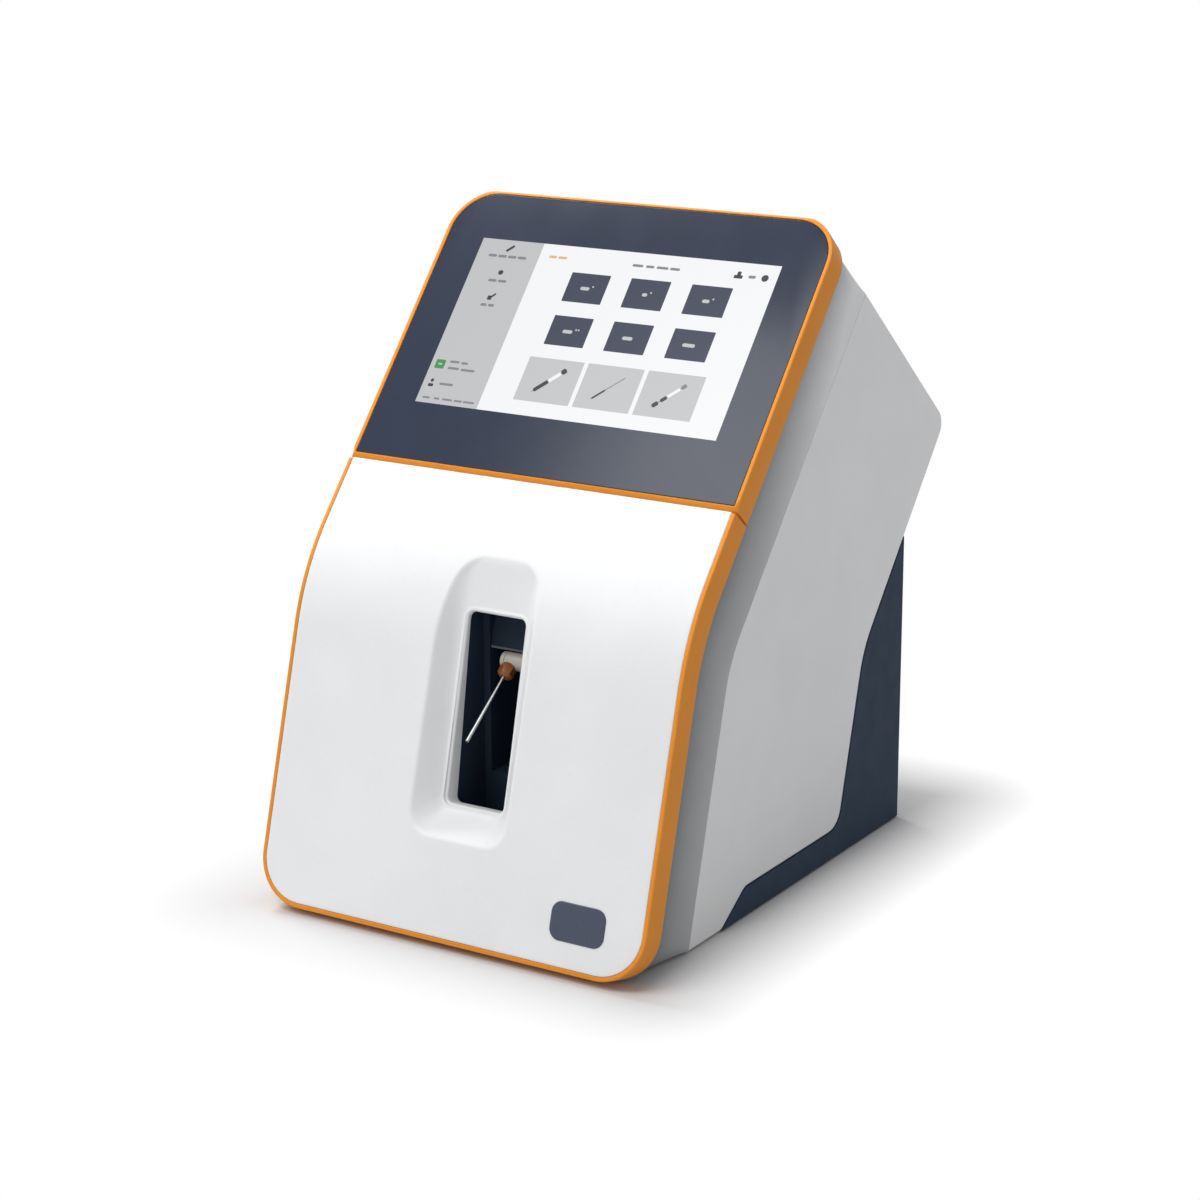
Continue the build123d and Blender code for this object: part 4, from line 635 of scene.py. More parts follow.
@dataclass(frozen=True)
class Outline:
    """Four-sided outline with round corners, as half widths, heights and radii."""

    half_low: float
    half_top: float
    low: float
    high: float
    r_low: float
    r_top: float

    def grown(self, by: float) -> "Outline":
        """The outline moved outwards by a distance, or inwards where it is negative."""
        return Outline(self.half_low + by, self.half_top + by, self.low - by, self.high + by,
                       max(self.r_low + by, 0.05), max(self.r_top + by, 0.05))

    def loop(self, sampling: Sampling) -> Array:
        """Points round the outline, from the lower left corner towards the right.

        Each corner is an arc about the point where both neighbouring sides, moved in by the
        radius, meet: centre + radius * (cos a, sin a). Each side is start + share * (end - start).

        Args:
            sampling: how the corners and sides are divided.

        Returns:
            Points of shape (count, 2).
        """
        corners = np.array([(-self.half_low, self.low), (self.half_low, self.low),
                            (self.half_top, self.high), (-self.half_top, self.high)])
        radii = np.array([self.r_low, self.r_low, self.r_top, self.r_top])[:, None]
        back = np.roll(corners, 1, 0) - corners
        ahead = np.roll(corners, -1, 0) - corners
        back /= np.linalg.norm(back, axis=1, keepdims=True)
        ahead /= np.linalg.norm(ahead, axis=1, keepdims=True)
        half = np.arccos((back * ahead).sum(1, keepdims=True)) / 2
        middle = (back + ahead) / np.linalg.norm(back + ahead, axis=1, keepdims=True)
        centre = corners + middle * radii / np.sin(half)
        begin = corners + back * radii / np.tan(half)
        end = corners + ahead * radii / np.tan(half)
        a0 = np.arctan2(*(begin - centre).T[::-1])[:, None]
        a1 = np.arctan2(*(end - centre).T[::-1])[:, None]
        angle = a0 + np.mod(a1 - a0, 2 * np.pi) * np.linspace(0, 1, sampling.arc)
        arcs = centre[:, None] + radii[:, None] * np.stack([np.cos(angle), np.sin(angle)], -1)
        parts = []
        shares = (sampling.bottom, sampling.right, sampling.top, sampling.left)
        for k, share in enumerate(shares):
            parts += [arcs[k], end[k] + share[:, None] * (begin[(k + 1) % 4] - end[k])]
        return np.concatenate(parts)


def mix(one: Array, other: Array, share: float) -> Array:
    """Points between two loops."""
    return one + (other - one) * share


@dataclass(frozen=True)
class BentFront:
    """The leaning front: two flat faces joined by a large bend.

    Shift moves the front frame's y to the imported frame's. The chin is the lower end of the
    outer face. Catches are the heights of the two magnets, and ring_back is a depth between
    the orange ring with the hinge pins and what sits in the grey frame behind it.
    """

    shift: float
    lower_tilt: float = LOWER_TILT
    upper_tilt: float = UPPER_TILT
    lower_len: float = 145.1
    upper_len: float = 198.4
    bend_r: float = 110.0
    chin_y: float = 5.4
    chin_z: float = 5.65
    ring_back: float = 12.5
    catches: tuple = (30.0, 108.0)

    @property
    def into(self) -> Array:
        """Direction square into the machine from the lower face."""
        return np.array([0, *self.axes(self.lower_tilt)[1]])

    @property
    def turn(self) -> float:
        """Angle between both faces in radians."""
        return math.radians(self.upper_tilt - self.lower_tilt)

    @property
    def tangent(self) -> float:
        """From the bend corner to where the bend starts on either face."""
        return self.bend_r * math.tan(self.turn / 2)

    @property
    def bend_start(self) -> float:
        """Height up the face at which the bend starts."""
        return self.lower_len - self.tangent

    @property
    def bend_len(self) -> float:
        """Length of the bend along the outer face."""
        return self.bend_r * self.turn

    def height_of(self, s_upper: float) -> float:
        """Height up the face of a place given from the bend corner on the upper face."""
        return self.bend_start + self.bend_len + s_upper - self.tangent

    def axes(self, tilt: Array | float) -> tuple[Array, Array]:
        """Directions up the face and into the machine, in the side view.

        Args:
            tilt: lean from the vertical in degrees.

        Returns:
            (y, z) up the face and (y, z) into the machine.
        """
        a = np.radians(tilt)
        return np.stack([np.sin(a), np.cos(a)], -1), np.stack([np.cos(a), -np.sin(a)], -1)

    def low(self, x: Array, s: Array, depth: Array) -> Array:
        """Points from the lower face: chin + s * up + depth * into.

        Args:
            x: across.
            s: up the lower face.
            depth: square into the machine.

        Returns:
            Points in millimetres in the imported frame.
        """
        x, s, depth = np.broadcast_arrays(*(np.asarray(v, float) for v in (x, s, depth)))
        up, into = self.axes(self.lower_tilt)
        yz = s[..., None] * up + depth[..., None] * into
        return np.stack([x, yz[..., 0] + self.chin_y + self.shift, yz[..., 1] + self.chin_z], -1)

    def block(self, outline: Outline, x: float, s: float, depths: tuple) -> Solid:
        """Straight block square to the lower face.

        Args:
            outline: its outline about its own middle.
            x: its middle across.
            s: its middle up the lower face.
            depths: where it starts and ends.

        Returns:
            Points and faces.
        """
        loop = outline.loop(Sampling.even(4)) + (x, s)
        return chain(np.array([self.low(loop[:, 0], loop[:, 1], depth) for depth in depths]))

    def wrap(self, x: Array, height: Array, depth: Array) -> Array:
        """Points on the bent front: flat below the bend, an arc about its centre, flat above.

        In the arc the tilt grows with height over the bend's radius, and the point lies at
        centre - (radius - depth) * into(tilt).

        Args:
            x: across.
            height: along the outer face from the chin.
            depth: square into the machine.

        Returns:
            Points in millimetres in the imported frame.
        """
        x, height, depth = np.broadcast_arrays(*(np.asarray(v, float) for v in (x, height, depth)))
        turned = np.clip(height - self.bend_start, 0, self.bend_len)
        up, into = self.axes(self.lower_tilt + np.degrees(turned / self.bend_r))
        low_up, low_into = self.axes(self.lower_tilt)
        centre = self.bend_start * low_up + self.bend_r * low_into
        rest = height - self.bend_start - turned
        yz = centre - (self.bend_r - depth)[..., None] * into + rest[..., None] * up
        return np.stack([x, yz[..., 0] + self.chin_y + self.shift, yz[..., 1] + self.chin_z], -1)

    def upper(self, x: Array, s: Array, depth: Array) -> Array:
        """Points given from the bend corner on the upper face."""
        return self.wrap(x, np.asarray(s, float) + self.height_of(0), depth)

    def plain(self, x: Array, y: Array, z: Array) -> Array:
        """Points given in the front frame's own axes."""
        x, y, z = np.broadcast_arrays(*(np.asarray(v, float) for v in (x, y, z)))
        return np.stack([x, y + self.shift, z], -1)

    def past_bend(self, s: Array) -> tuple[Array, Array]:
        """How far a place on the lower face's plane is past the bend's start and its end.

        Args:
            s: up the lower face's plane.

        Returns:
            Distance within the bend, and distance beyond it.
        """
        reach = self.bend_r * math.sin(self.turn)
        past = s - self.bend_start
        return np.clip(past, 0, reach), np.maximum(past - reach, 0)

    def face_depth(self, s: Array) -> Array:
        """Depth of the outer face behind the lower face's plane: R - sqrt(R^2 - ds^2) in the
        bend, and a straight slope beyond it.

        Args:
            s: up the lower face's plane.

        Returns:
            The depth.
        """
        ds, beyond = self.past_bend(s)
        return self.bend_r - np.sqrt(self.bend_r ** 2 - ds ** 2) + beyond * math.tan(self.turn)

    def face_height(self, s: Array) -> Array:
        """Height along the outer face over a place on the lower face's plane."""
        ds, beyond = self.past_bend(s)
        arc = self.bend_r * np.arcsin(ds / self.bend_r)
        return np.minimum(s, self.bend_start) + arc + beyond / math.cos(self.turn)


def lathe(start: Array, axis: Array, profile: Array, steps: int = 48) -> Solid:
    """Shell of revolution: start + along * axis + radius * (cos a * u + sin a * v).

    Args:
        start: origin of the profile on the axis.
        axis: unit direction of the axis.
        profile: rows of (along, radius), open, from one pole or rim to the other.
        steps: divisions of the turn.

    Returns:
        Points and faces of a closed shell.
    """
    axis = np.asarray(axis, float)
    u = np.cross(axis, (1, 0, 0) if abs(axis[0]) < 0.9 else (0, 1, 0))
    u /= np.linalg.norm(u)
    v = np.cross(axis, u)
    angle = np.arange(steps) * 2 * np.pi / steps
    ring = np.cos(angle)[:, None] * u + np.sin(angle)[:, None] * v
    profile = np.asarray(profile, float)
    loops = np.asarray(start) + profile[:, :1, None] * axis + profile[:, 1:, None] * ring
    closed = bool(np.allclose(profile[0], profile[-1]))
    return chain(loops[:-1] if closed else loops, closed)


def tube(path: Array, radius: float, side: Array, sides: int = 20) -> Solid:
    """Round bar along a flat path: point + radius * (cos a * side + sin a * across).

    Args:
        path: points of shape (count, 3), all in one plane.
        radius: radius of the bar.
        side: unit direction square to the path's plane.
        sides: divisions round the bar.

    Returns:
        Points and faces of a closed shell.
    """
    run = np.gradient(path, axis=0)
    run /= np.linalg.norm(run, axis=1, keepdims=True)
    across = np.cross(run, side)
    angle = np.arange(sides) * 2 * np.pi / sides
    loops = path[:, None] + radius * (np.cos(angle)[None, :, None] * side
                                      + np.sin(angle)[None, :, None] * across[:, None])
    return chain(loops)


# ------------------------------------------------------------------ workshop
@dataclass
class Workshop:
    """Puts pieces into the scene on their bodies, with their materials."""

    nodes: dict
    front: BentFront
    made: dict

    def material(self, look: Look) -> bpy.types.Material:
        """The look's material, made once."""
        if look not in self.made:
            self.made[look] = look.value.build()
        return self.made[look]

    def add(self, name: str, mesh: bpy.types.Mesh, look: Look, *nodes: str,
            body: str = "") -> bpy.types.Object:
        """Place a finished mesh.

        Args:
            name: the piece's name.
            mesh: its mesh, in place.
            look: its finish.
            nodes: CAD nodes it stands for.
            body: body it rides on, or that of its first node.

        Returns:
            The new object.
        """
        piece = bpy.data.objects.new(name, mesh)
        bpy.context.scene.collection.objects.link(piece)
        mesh.materials.clear()
        mesh.materials.append(self.material(look))
        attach(piece, body or self.nodes[nodes[0]]["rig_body"])
        if nodes:
            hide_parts(*nodes)
        LOG.info("%s: %d faces, %s", name, len(mesh.polygons), look.value.name)
        return piece

    def shells(self, name: str, look: Look, shells: list[Solid], *nodes: str, body: str = "",
               sharp: float = CREASE, share: Array | None = None) -> bpy.types.Object:
        """Place a piece made of closed shells.

        Args:
            name: the piece's name.
            look: its finish.
            shells: points and faces of each shell.
            nodes: CAD nodes it stands for.
            body: body it rides on, or that of its first node.
            sharp: edges that turn by more than this angle stay crisp.
            share: number at each point that its material reads, such as the frame's painted shade
                and painted light.

        Returns:
            The new object.
        """
        mesh = finish_mesh(name, *merged(shells), sharp, share)
        return self.add(name, mesh, look, *nodes, body=body)

    def refined(self, node: str, look: Look, edge: float = 0.3, lift: float = 0.0,
                steps: int = 2, sharp: float = 30.0) -> bpy.types.Object:
        """Copy of a CAD node, merged, with its flat faces joined and its edges broken.

        Args:
            node: the node.
            look: its finish.
            edge: width of the broken edges in millimetres.
            lift: how far what lies behind the ring is raised, out of a flush seat.
            steps: divisions of the broken edge.
            sharp: angle above which an edge is broken.

        Returns:
            The new object.
        """
        mesh = self.nodes[node].data.copy()
        bm = bmesh.new()
        bm.from_mesh(mesh)
        bmesh.ops.remove_doubles(bm, verts=bm.verts, dist=WELD / 2)
        bmesh.ops.dissolve_limit(bm, angle_limit=math.radians(FLAT), verts=bm.verts,
                                 edges=bm.edges)
        if lift:
            into = Vector(self.front.into)
            chin = Vector(self.front.low(0, 0, 0)) * MM
            behind = self.front.ring_back * MM
            seated = [v for v in bm.verts if (v.co - chin).dot(into) > behind]
            bmesh.ops.translate(bm, verts=seated, vec=-into * lift * MM)
        bm.to_mesh(mesh)
        bm.free()
        mesh.shade_smooth()
        mesh.set_sharp_from_angle(angle=math.radians(sharp))
        piece = self.add(node + "_fine", mesh, look, node)
        bevel = piece.modifiers.new("edges", "BEVEL")
        bevel.width = edge * MM
        bevel.segments = steps
        bevel.limit_method = "ANGLE"
        bevel.angle_limit = math.radians(sharp)
        bevel.harden_normals = True
        return piece


@dataclass
class FrontPart:
    """Sizes that the screen unit and the door have in common."""

    shop: Workshop
    half: float = 96.8
    ring_wall: float = 2.0
    ring_depth: float = 12.0
    ring_edge: float = 0.3
    bevel: float = 0.4
    corner: float = 22.0
    gap: float = 0.1


# ------------------------------------------------------------------ screen unit
@dataclass
class ScreenUnit(FrontPart):
    """Upper part of the front: ring, glass, its picture, and what sits behind them."""

    seam: float = 57.45
    strip: float = 2.3
    strip_bevel: float = 1.65
    sink: float = 0.3
    thick: float = 1.8
    polish: float = 0.45
    picture_w: float = 154.1
    picture_h: float = 86.3
    picture_s: float = 131.45

    def build(self) -> None:
        """Make every piece of the unit."""
        self.ring()
        self.glass()
        Picture(self.shop, self.picture_w, self.picture_h, self.picture_s, self.sink).build()
        self.shop.refined("screen_carrier", Look.BLACK, 0.25)
        self.shop.refined("display_module", Look.CARTRIDGE_GUIDE, 0.2)
        self.shop.refined("display_board", Look.BOARD, 0.12)

    def ring(self) -> None:
        """Orange ring: a closed section carried round the rounded outline.

        The section runs from the outer side over a rounded bevel, the flat front, a broken
        inner edge and the back. Points lie between the outer and inner outline by a share.
        Along the seam the bevel takes up most of the width. No point is above the node's top.
        """
        sampling = Sampling.even(16, 24, 24)
        top = self.shop.front.upper_len
        half = self.half + self.ring_wall
        outer = Outline(half, half, self.seam, top + self.ring_wall, self.ring_edge,
                        self.corner).loop(sampling)
        inner = Outline(self.half, self.half, self.seam + self.strip, top, self.ring_edge,
                        self.corner - self.ring_wall).loop(sampling)
        at_seam = np.abs(outer[:, 1] - self.seam) < self.ring_edge + 0.05
        loops = ring_loops(outer, inner, np.where(at_seam, self.strip, self.ring_wall),
                           np.where(at_seam, self.strip_bevel, self.bevel),
                           np.full(len(outer), self.ring_depth), self.ring_edge)
        verts = self.shop.front.upper(loops[..., 0], loops[..., 1], loops[..., 2])
        verts[..., 2] = np.minimum(verts[..., 2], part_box("screen_ring")[1].z / MM)
        self.shop.shells("screen_ring_orange", Look.ORANGE, [chain(verts, closed=True)],
                         "screen_ring")

    def glass(self) -> None:
        """Cover glass: a rounded plate with a polished edge a quarter circle in section."""
        half = self.half - self.gap
        plate = Outline(half, half, self.seam + self.strip + self.gap,
                        self.shop.front.upper_len - self.gap, 0.4,
                        self.corner - self.ring_wall - self.gap)
        sampling = Sampling.even(20, 8, 8)
        rows = [(0.0, self.sink + self.thick)]
        rows += [(-self.polish * (1 - math.cos(a)), self.sink + self.polish * (1 - math.sin(a)))
                 for a in np.linspace(0, np.pi / 2, 6)]
        loops = []
        for inset, depth in rows:
            loop = plate.grown(inset).loop(sampling)
            loops.append(self.shop.front.upper(loop[:, 0], loop[:, 1], depth))
        self.shop.shells("cover_glass_plate", Look.GLASS, [chain(np.array(loops))], "cover_glass",
                         sharp=50)


def ring_loops(outer: Array, inner: Array, width: Array, bevel: Array, depth: Array,
               edge: float) -> Array:
    """Section of an orange ring at every place of its outline.

    Shares run from 0 on the outer outline to 1 on the inner one. The outer front edge is a
    bevel whose two ends are rounded; the inner front edge is broken.

    Args:
        outer: outer outline, (points, 2).
        inner: inner outline, (points, 2).
        width: width of the ring at each point.
        bevel: size of the outer bevel at each point.
        depth: depth of the ring's back at each point.
        edge: size of the broken inner edge.

    Returns:
        (sections, points, 3) of x, height and depth.
    """
    one, none = np.ones(len(outer)), np.zeros(len(outer))
    b, broken = bevel / width, edge / width
    rows = [(none, depth), (none, bevel * 1.25), (0.06 * b, bevel * 1.02), (0.2 * b, bevel * 0.8),
            (0.8 * b, bevel * 0.2), (1.02 * b, bevel * 0.06), (1.25 * b, none),
            (np.maximum(1 - broken, 1.26 * b), none), (1 - 0.3 * broken, 0.3 * edge * one),
            (one, edge * one), (one, depth)]
    share = np.array([row[0] for row in rows])[..., None]
    flat = outer + (inner - outer) * np.clip(share, 0, 1)
    return np.concatenate([flat, np.array([row[1] for row in rows])[..., None]], -1)


@dataclass
class Picture:
    """What the display shows: flat lit shapes a hair's breadth proud of the glass.

    Places are millimetres from the display's upper left corner, to the right and down.
    """

    shop: Workshop
    width: float
    height: float
    centre: float
    sink: float
    hair: float = 0.02
    bar_width: float = 32.9
    slant: float = 43.0

    def build(self) -> None:
        """Draw the picture, one piece for each ink."""
        self.inks: dict[Look, list[Solid]] = {}
        self.panel()
        self.side_bar()
        self.tiles()
        self.status()
        for ink, shells in self.inks.items():
            self.shop.shells(ink.value.name, ink, shells, body="chassis")

    def shape(self, ink: Look, points: Array, layer: int) -> None:
        """Flat shape with a little thickness.

        Args:
            ink: its look.
            points: closed outline, (count, 2), from the display's upper left corner.
            layer: how many layers lie under it.
        """
        x = points[:, 0] - self.width / 2
        s = self.centre + self.height / 2 - points[:, 1]
        front = self.sink - self.hair * (layer + 2)
        loops = np.array([self.shop.front.upper(x, s, d) for d in (self.sink + 0.05, front)])
        self.inks.setdefault(ink, []).append(chain(loops))

    def bar(self, ink: Look, x: float, y: float, w: float, h: float, layer: int,
            r: float = -1.0) -> None:
        """Rounded rectangle about a centre.

        Args:
            ink: its look.
            x: centre from the left.
            y: centre from the top.
            w: width.
            h: height.
            layer: how many layers lie under it.
            r: corner radius, or half the smaller side where it is negative.
        """
        r = min(w, h) / 2 - 0.01 if r < 0 else max(r, 0.02)
        loop = Outline(w / 2, w / 2, -h / 2, h / 2, r, r).loop(Sampling.even(6))
        self.shape(ink, loop + (x, y), layer)

    def slanted(self, ink: Look, x: float, y: float, along: tuple[float, float], w: float,
                layer: int) -> None:
        """Bar that rises to the right about a point.

        Args:
            ink: its look.
            x: centre of the drawing from the left.
            y: centre of the drawing from the top.
            along: where the bar starts and ends, from the centre.
            w: width of the bar.
            layer: how many layers lie under it.
        """
        half = (along[1] - along[0]) / 2
        loop = Outline(half, half, -w / 2, w / 2, w * 0.3, w * 0.3).loop(Sampling.even(4))
        turn = math.radians(-self.slant)
        c, s = math.cos(turn), math.sin(turn)
        loop = (loop + (along[0] + half, 0)) @ np.array([(c, s), (-s, c)])
        self.shape(ink, loop + (x, y), layer)

    def panel(self) -> None:
        """White ground, title and the small orange label."""
        self.bar(Look.INK_WHITE, self.width / 2, self.height / 2, self.width, self.height, 0, 0.1)
        for k, w in enumerate((5.5, 4.2, 6.0, 5.0)):
            self.bar(Look.INK_GREY, 84.5 + 6.3 * k, 6.6, w, 1.3, 1)
        for k, w in enumerate((4.0, 4.6)):
            self.bar(Look.INK_ORANGE, 40.0 + 5.2 * k, 6.4, w, 1.3, 1)

    def side_bar(self) -> None:
        """Grey menu bar: three entries above, two status lines and a footer below."""
        bar = self.bar_width
        self.bar(Look.INK_SIDE, bar / 2, self.height / 2, bar, self.height, 1, 0.1)
        self.slanted(Look.INK_DARK, 16.4, 4.2, (-2.4, 2.2), 1.3, 2)
        self.bar(Look.INK_DARK, 16.4, 17.0, 2.6, 2.4, 2)
        self.bar(Look.INK_DARK, 16.0, 30.4, 2.2, 2.2, 2, 0.2)
        self.slanted(Look.INK_DARK, 17.0, 29.6, (-0.5, 2.2), 1.0, 2)
        for y, w in ((8.6, 21.0), (21.4, 10.4), (34.2, 8.0)):
            parts = round(w / 5)
            word = w / parts
            for k in range(parts):
                self.bar(Look.INK_GREY, 16.4 + (k - (parts - 1) / 2) * word, y, word - 0.7, 1.4, 2)
        for y in (11.6, 24.6):
            self.bar(Look.INK_PALE, bar / 2, y, bar - 6, 0.3, 2, 0.1)
        self.bar(Look.INK_GREEN, 4.9, 66.4, 5.0, 4.6, 2, 0.6)
        self.bar(Look.INK_SIDE, 4.9, 66.4, 2.2, 0.8, 3)
        lines = ((12.0, 64.6, 5.0), (17.4, 64.8, 3.6), (12.6, 67.9, 6.0), (20.4, 68.1, 7.4))
        for x, y, w in lines:
            self.bar(Look.INK_GREY, x, y, w, 1.2, 2)
        self.bar(Look.INK_DARK, 4.4, 74.9, 1.7, 1.7, 2)
        self.bar(Look.INK_DARK, 4.4, 77.3, 2.8, 1.5, 2, 0.6)
        self.bar(Look.INK_GREY, 12.4, 76.2, 7.4, 1.2, 2)
        for k, w in enumerate((4.0, 3.0, 5.4, 4.4, 6.0)):
            self.bar(Look.INK_GREY, 4.8 + 5.7 * k, 83.7, w, 1.0, 2)

    def tiles(self) -> None:
        """Six navy tiles with plain marks, and three grey ones with sample holders."""
        marks = ((4.6, 1), (2.6, 1), (3.6, 1), (5.0, 2), (5.2, 0), (6.2, 0))  # width, dots
        for k, (w, dots) in enumerate(marks):
            x, y = 63.3 + 30.8 * (k % 3), 20.6 + 22.3 * (k // 3)
            self.bar(Look.INK_NAVY, x, y, 20.2, 15.0, 1, 0.4)
            self.bar(Look.INK_PALE, x - 0.6, y + 0.2, w, 1.7, 2)
            for n in range(dots):
                self.bar(Look.INK_PALE, x + w / 2 + 0.9 + 1.3 * n, y - 1.1, 0.9, 0.9, 2)
        holders = (((Look.INK_DARK, (-8.0, -0.4), 2.0, 3), (Look.INK_WHITE, (-0.2, 6.2), 1.8, 3),
                    (Look.INK_DARK, (6.6, 9.2), 2.6, 4)),
                   ((Look.INK_DARK, (-8.4, -1.6), 0.9, 3),),
                   ((Look.INK_DARK, (-8.6, -5.6), 2.2, 3), (Look.INK_DARK, (-4.4, -1.2), 1.8, 3),
                    (Look.INK_WHITE, (-0.8, 5.6), 1.5, 3), (Look.INK_GREY, (6.2, 8.8), 2.0, 4)))
        for k, parts in enumerate(holders):
            x, y = 63.4 + 30.5 * k, 68.2
            self.bar(Look.INK_PALE, x, y, 28.4, 22.0, 1, 0.4)
            self.slanted(Look.INK_GREY, x, y, (-9.0, 8.6), 0.5, 2)
            for ink, along, w, layer in parts:
                self.slanted(ink, x, y, along, w, layer)

    def status(self) -> None:
        """Small symbols at the upper right."""
        self.bar(Look.INK_DARK, 135.2, 7.2, 4.2, 1.7, 1, 0.3)
        self.bar(Look.INK_DARK, 135.2, 5.6, 1.9, 2.2, 1, 0.5)
        self.bar(Look.INK_GREY, 141.9, 6.7, 3.6, 1.5, 1)
        self.bar(Look.INK_DARK, 148.2, 6.7, 3.4, 3.4, 1)


# ------------------------------------------------------------------ door
@dataclass
class Door(FrontPart):
    """Lower part of the front: ring, scooped panel, badge, catch and hinge leaves.

    Pocket, floor and window are the outlines of the recess, from its rim inwards. Skin and
    rim are thicknesses of the panel; the floor and the sleeve's end lean by their turns.
    Pillow and broken are sections of an edge: pairs of inset and depth. The margin is a belt
    round the pocket, where the panel's loops change from the bent face to the flat plane.
    """

    top_s: float = 56.95
    level: float = 1.5
    skin: float = 2.6
    rim: float = 2.3
    rim_depth: float = 11.8
    notch_depth: float = 6.6
    notches: tuple = ((25.7, 50.3), (91.7, 116.3))
    pocket: Outline = Outline(25.3, 25.3, 41.0, 164.2, 11.0, 13.0)
    floor: Outline = Outline(15.2, 18.0, 54.3, 163.0, 5.0, 10.0)
    window: Outline = Outline(14.5, 14.5, 56.0, 139.0, 3.0, 3.0)
    floor_s: float = 56.0
    floor_depth: float = 12.3
    floor_turn: float = 2.25
    floor_soft: float = 3.0
    rim_soft: float = 0.8
    sleeve_wall: float = 2.0
    sleeve_s: float = 55.5
    sleeve_depth: float = 20.5
    sleeve_turn: float = 6.45
    sleeve_least: float = 2.35
    lip: float = 1.1
    bead: float = 0.35
    bead_foot: float = 0.9
    notch: float = 0.6
    seat: Outline = Outline(3.5, 3.5, -8.0, 8.0, 0.5, 0.5)
    seat_x: float = 92.0
    seat_depths: tuple = (2.0, 11.7)
    plate: Outline = Outline(13.25, 13.25, -8.25, 8.25, 5.0, 5.0)
    plate_place: tuple = (65.7, 19.3)
    pillow: tuple = ((0, 0.0), (0, -0.22), (-0.08, -0.33), (-0.25, -0.4), (-1.5, -0.4))
    broken: tuple = ((0, 0.5), (0.06, 0.24), (0.24, 0.06), (0.5, 0))
    margin: float = 5.0
    ring_end: float = 0.05
    panel_end: float = 0.4
    notch_step: float = 0.02
    wall_start: float = -1.0
    wall_range: tuple = (-0.6, 1.6)
    wall_run: float = 8.0
    sleeve_edge: float = 0.25
    sleeve_step: float = 0.05

    def build(self) -> None:
        """Make every piece of the door."""
        self.top = self.shop.front.height_of(self.top_s)
        self.ring()
        self.panel()
        self.badge()
        self.shop.refined("door_strikes", Look.ZINC, 0.2)
        self.shop.refined("door_hinge_leaves", Look.NICKEL, 0.15)

    def left_shares(self, low: float, high: float) -> Array:
        """Shares down the left side, with a pair of points at each end of a hinge notch.

        Args:
            low: height where the side's lower corner ends.
            high: height where its upper corner starts.

        Returns:
            Shares from the top down.
        """
        ends = np.array([e for notch in self.notches for e in notch])
        pairs = np.concatenate([ends - self.notch_step, ends + self.notch_step])
        even = np.linspace(low, high, 50)[1:-1]
        even = even[np.abs(even[:, None] - ends).min(1) > 1.0]
        return (high - np.sort(np.concatenate([even, pairs]))[::-1]) / (high - low)

    def back_depth(self, loop: Array, full: float) -> Array:
        """Depth of the back of a rim: less where a hinge notch is.

        Args:
            loop: (points, 2) of x and height.
            full: depth away from the notches.

        Returns:
            The depth at each point.
        """
        notched = np.zeros(len(loop), bool)
        for low, high in self.notches:
            notched |= (loop[:, 1] > low) & (loop[:, 1] < high) & (loop[:, 0] < -self.half + 4)
        return np.where(notched, self.notch_depth, full)

    def ring(self) -> None:
        """Orange U: the section is carried down one side, along the bottom and up the other.

        Points that would lie under the level underside are raised to it, and none is in
        front of the node's foremost point.
        """
        front = self.shop.front
        radius = self.corner
        low = -self.ring_wall
        left = self.left_shares(low + radius, self.top - self.ring_end)
        sampling = Sampling(18, np.linspace(0, 1, 26)[1:-1], (1 - left)[::-1], np.zeros(0), left)
        half = self.half + self.ring_wall
        outer = Outline(half, half, low, self.top, radius, self.ring_end).loop(sampling)
        inner = Outline(self.half, self.half, 0.0, self.top, radius - self.ring_wall,
                        self.ring_end).loop(sampling)
        first, last = self.open_ends(sampling, len(outer))
        order = np.arange(first, last) % len(outer)
        outer, inner = outer[order], inner[order]
        outer[[0, -1], 1] = inner[[0, -1], 1] = self.top - self.notch
        loops = ring_loops(outer, inner, np.full(len(outer), self.ring_wall),
                           np.full(len(outer), self.bevel),
                           self.back_depth(outer, self.ring_depth), self.ring_edge)
        verts = front.wrap(loops[..., 0], loops[..., 1], loops[..., 2])
        verts[..., 2] = np.maximum(verts[..., 2], self.level)
        verts[..., 1] = np.maximum(verts[..., 1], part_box("door_ring")[0].y / MM)
        self.shop.shells("door_ring_orange", Look.ORANGE, [chain(np.swapaxes(verts, 0, 1))],
                         "door_ring")

    def open_ends(self, sampling: Sampling, count: int) -> tuple[int, int]:
        """First and last point of the U, which leaves out the top side.

        Args:
            sampling: the outline's sampling.
            count: points in the whole outline.

        Returns:
            Number of the first point, and one past the last, counted on past the end.
        """
        right_end = 2 * sampling.arc + len(sampling.bottom) + len(sampling.right)
        left_start = count - len(sampling.left)
        return left_start - 1, count + right_end + 1

    def scoop(self, x: Array, s: Array) -> Array:
        """Depth of the outer skin over the lower face's plane.

        The wall of the recess falls from the pocket's outline to the floor's outline in
        proportion to the distances to both: it starts in front of the plane and reaches the
        floor's depth. Outside the pocket it rises on, by its whole height in wall_run. It
        meets the sloping floor in a soft minimum and the bent face in a soft maximum.

        Args:
            x: across.
            s: up the lower face's plane.

        Returns:
            The depth.
        """
        face = self.shop.front.face_depth(s)
        floor = self.floor_at(s)
        outside = signed_distance(x, s, self.pocket)
        inside = signed_distance(x, s, self.floor)
        share = np.clip(outside / np.minimum(outside - inside, -1e-6), *self.wall_range)
        share = np.where(outside > 0, -outside / self.wall_run, share)
        wall = self.wall_start + share * (floor - self.wall_start)
        return soft(face, soft(wall, floor, self.floor_soft, -1), self.rim_soft, 1)

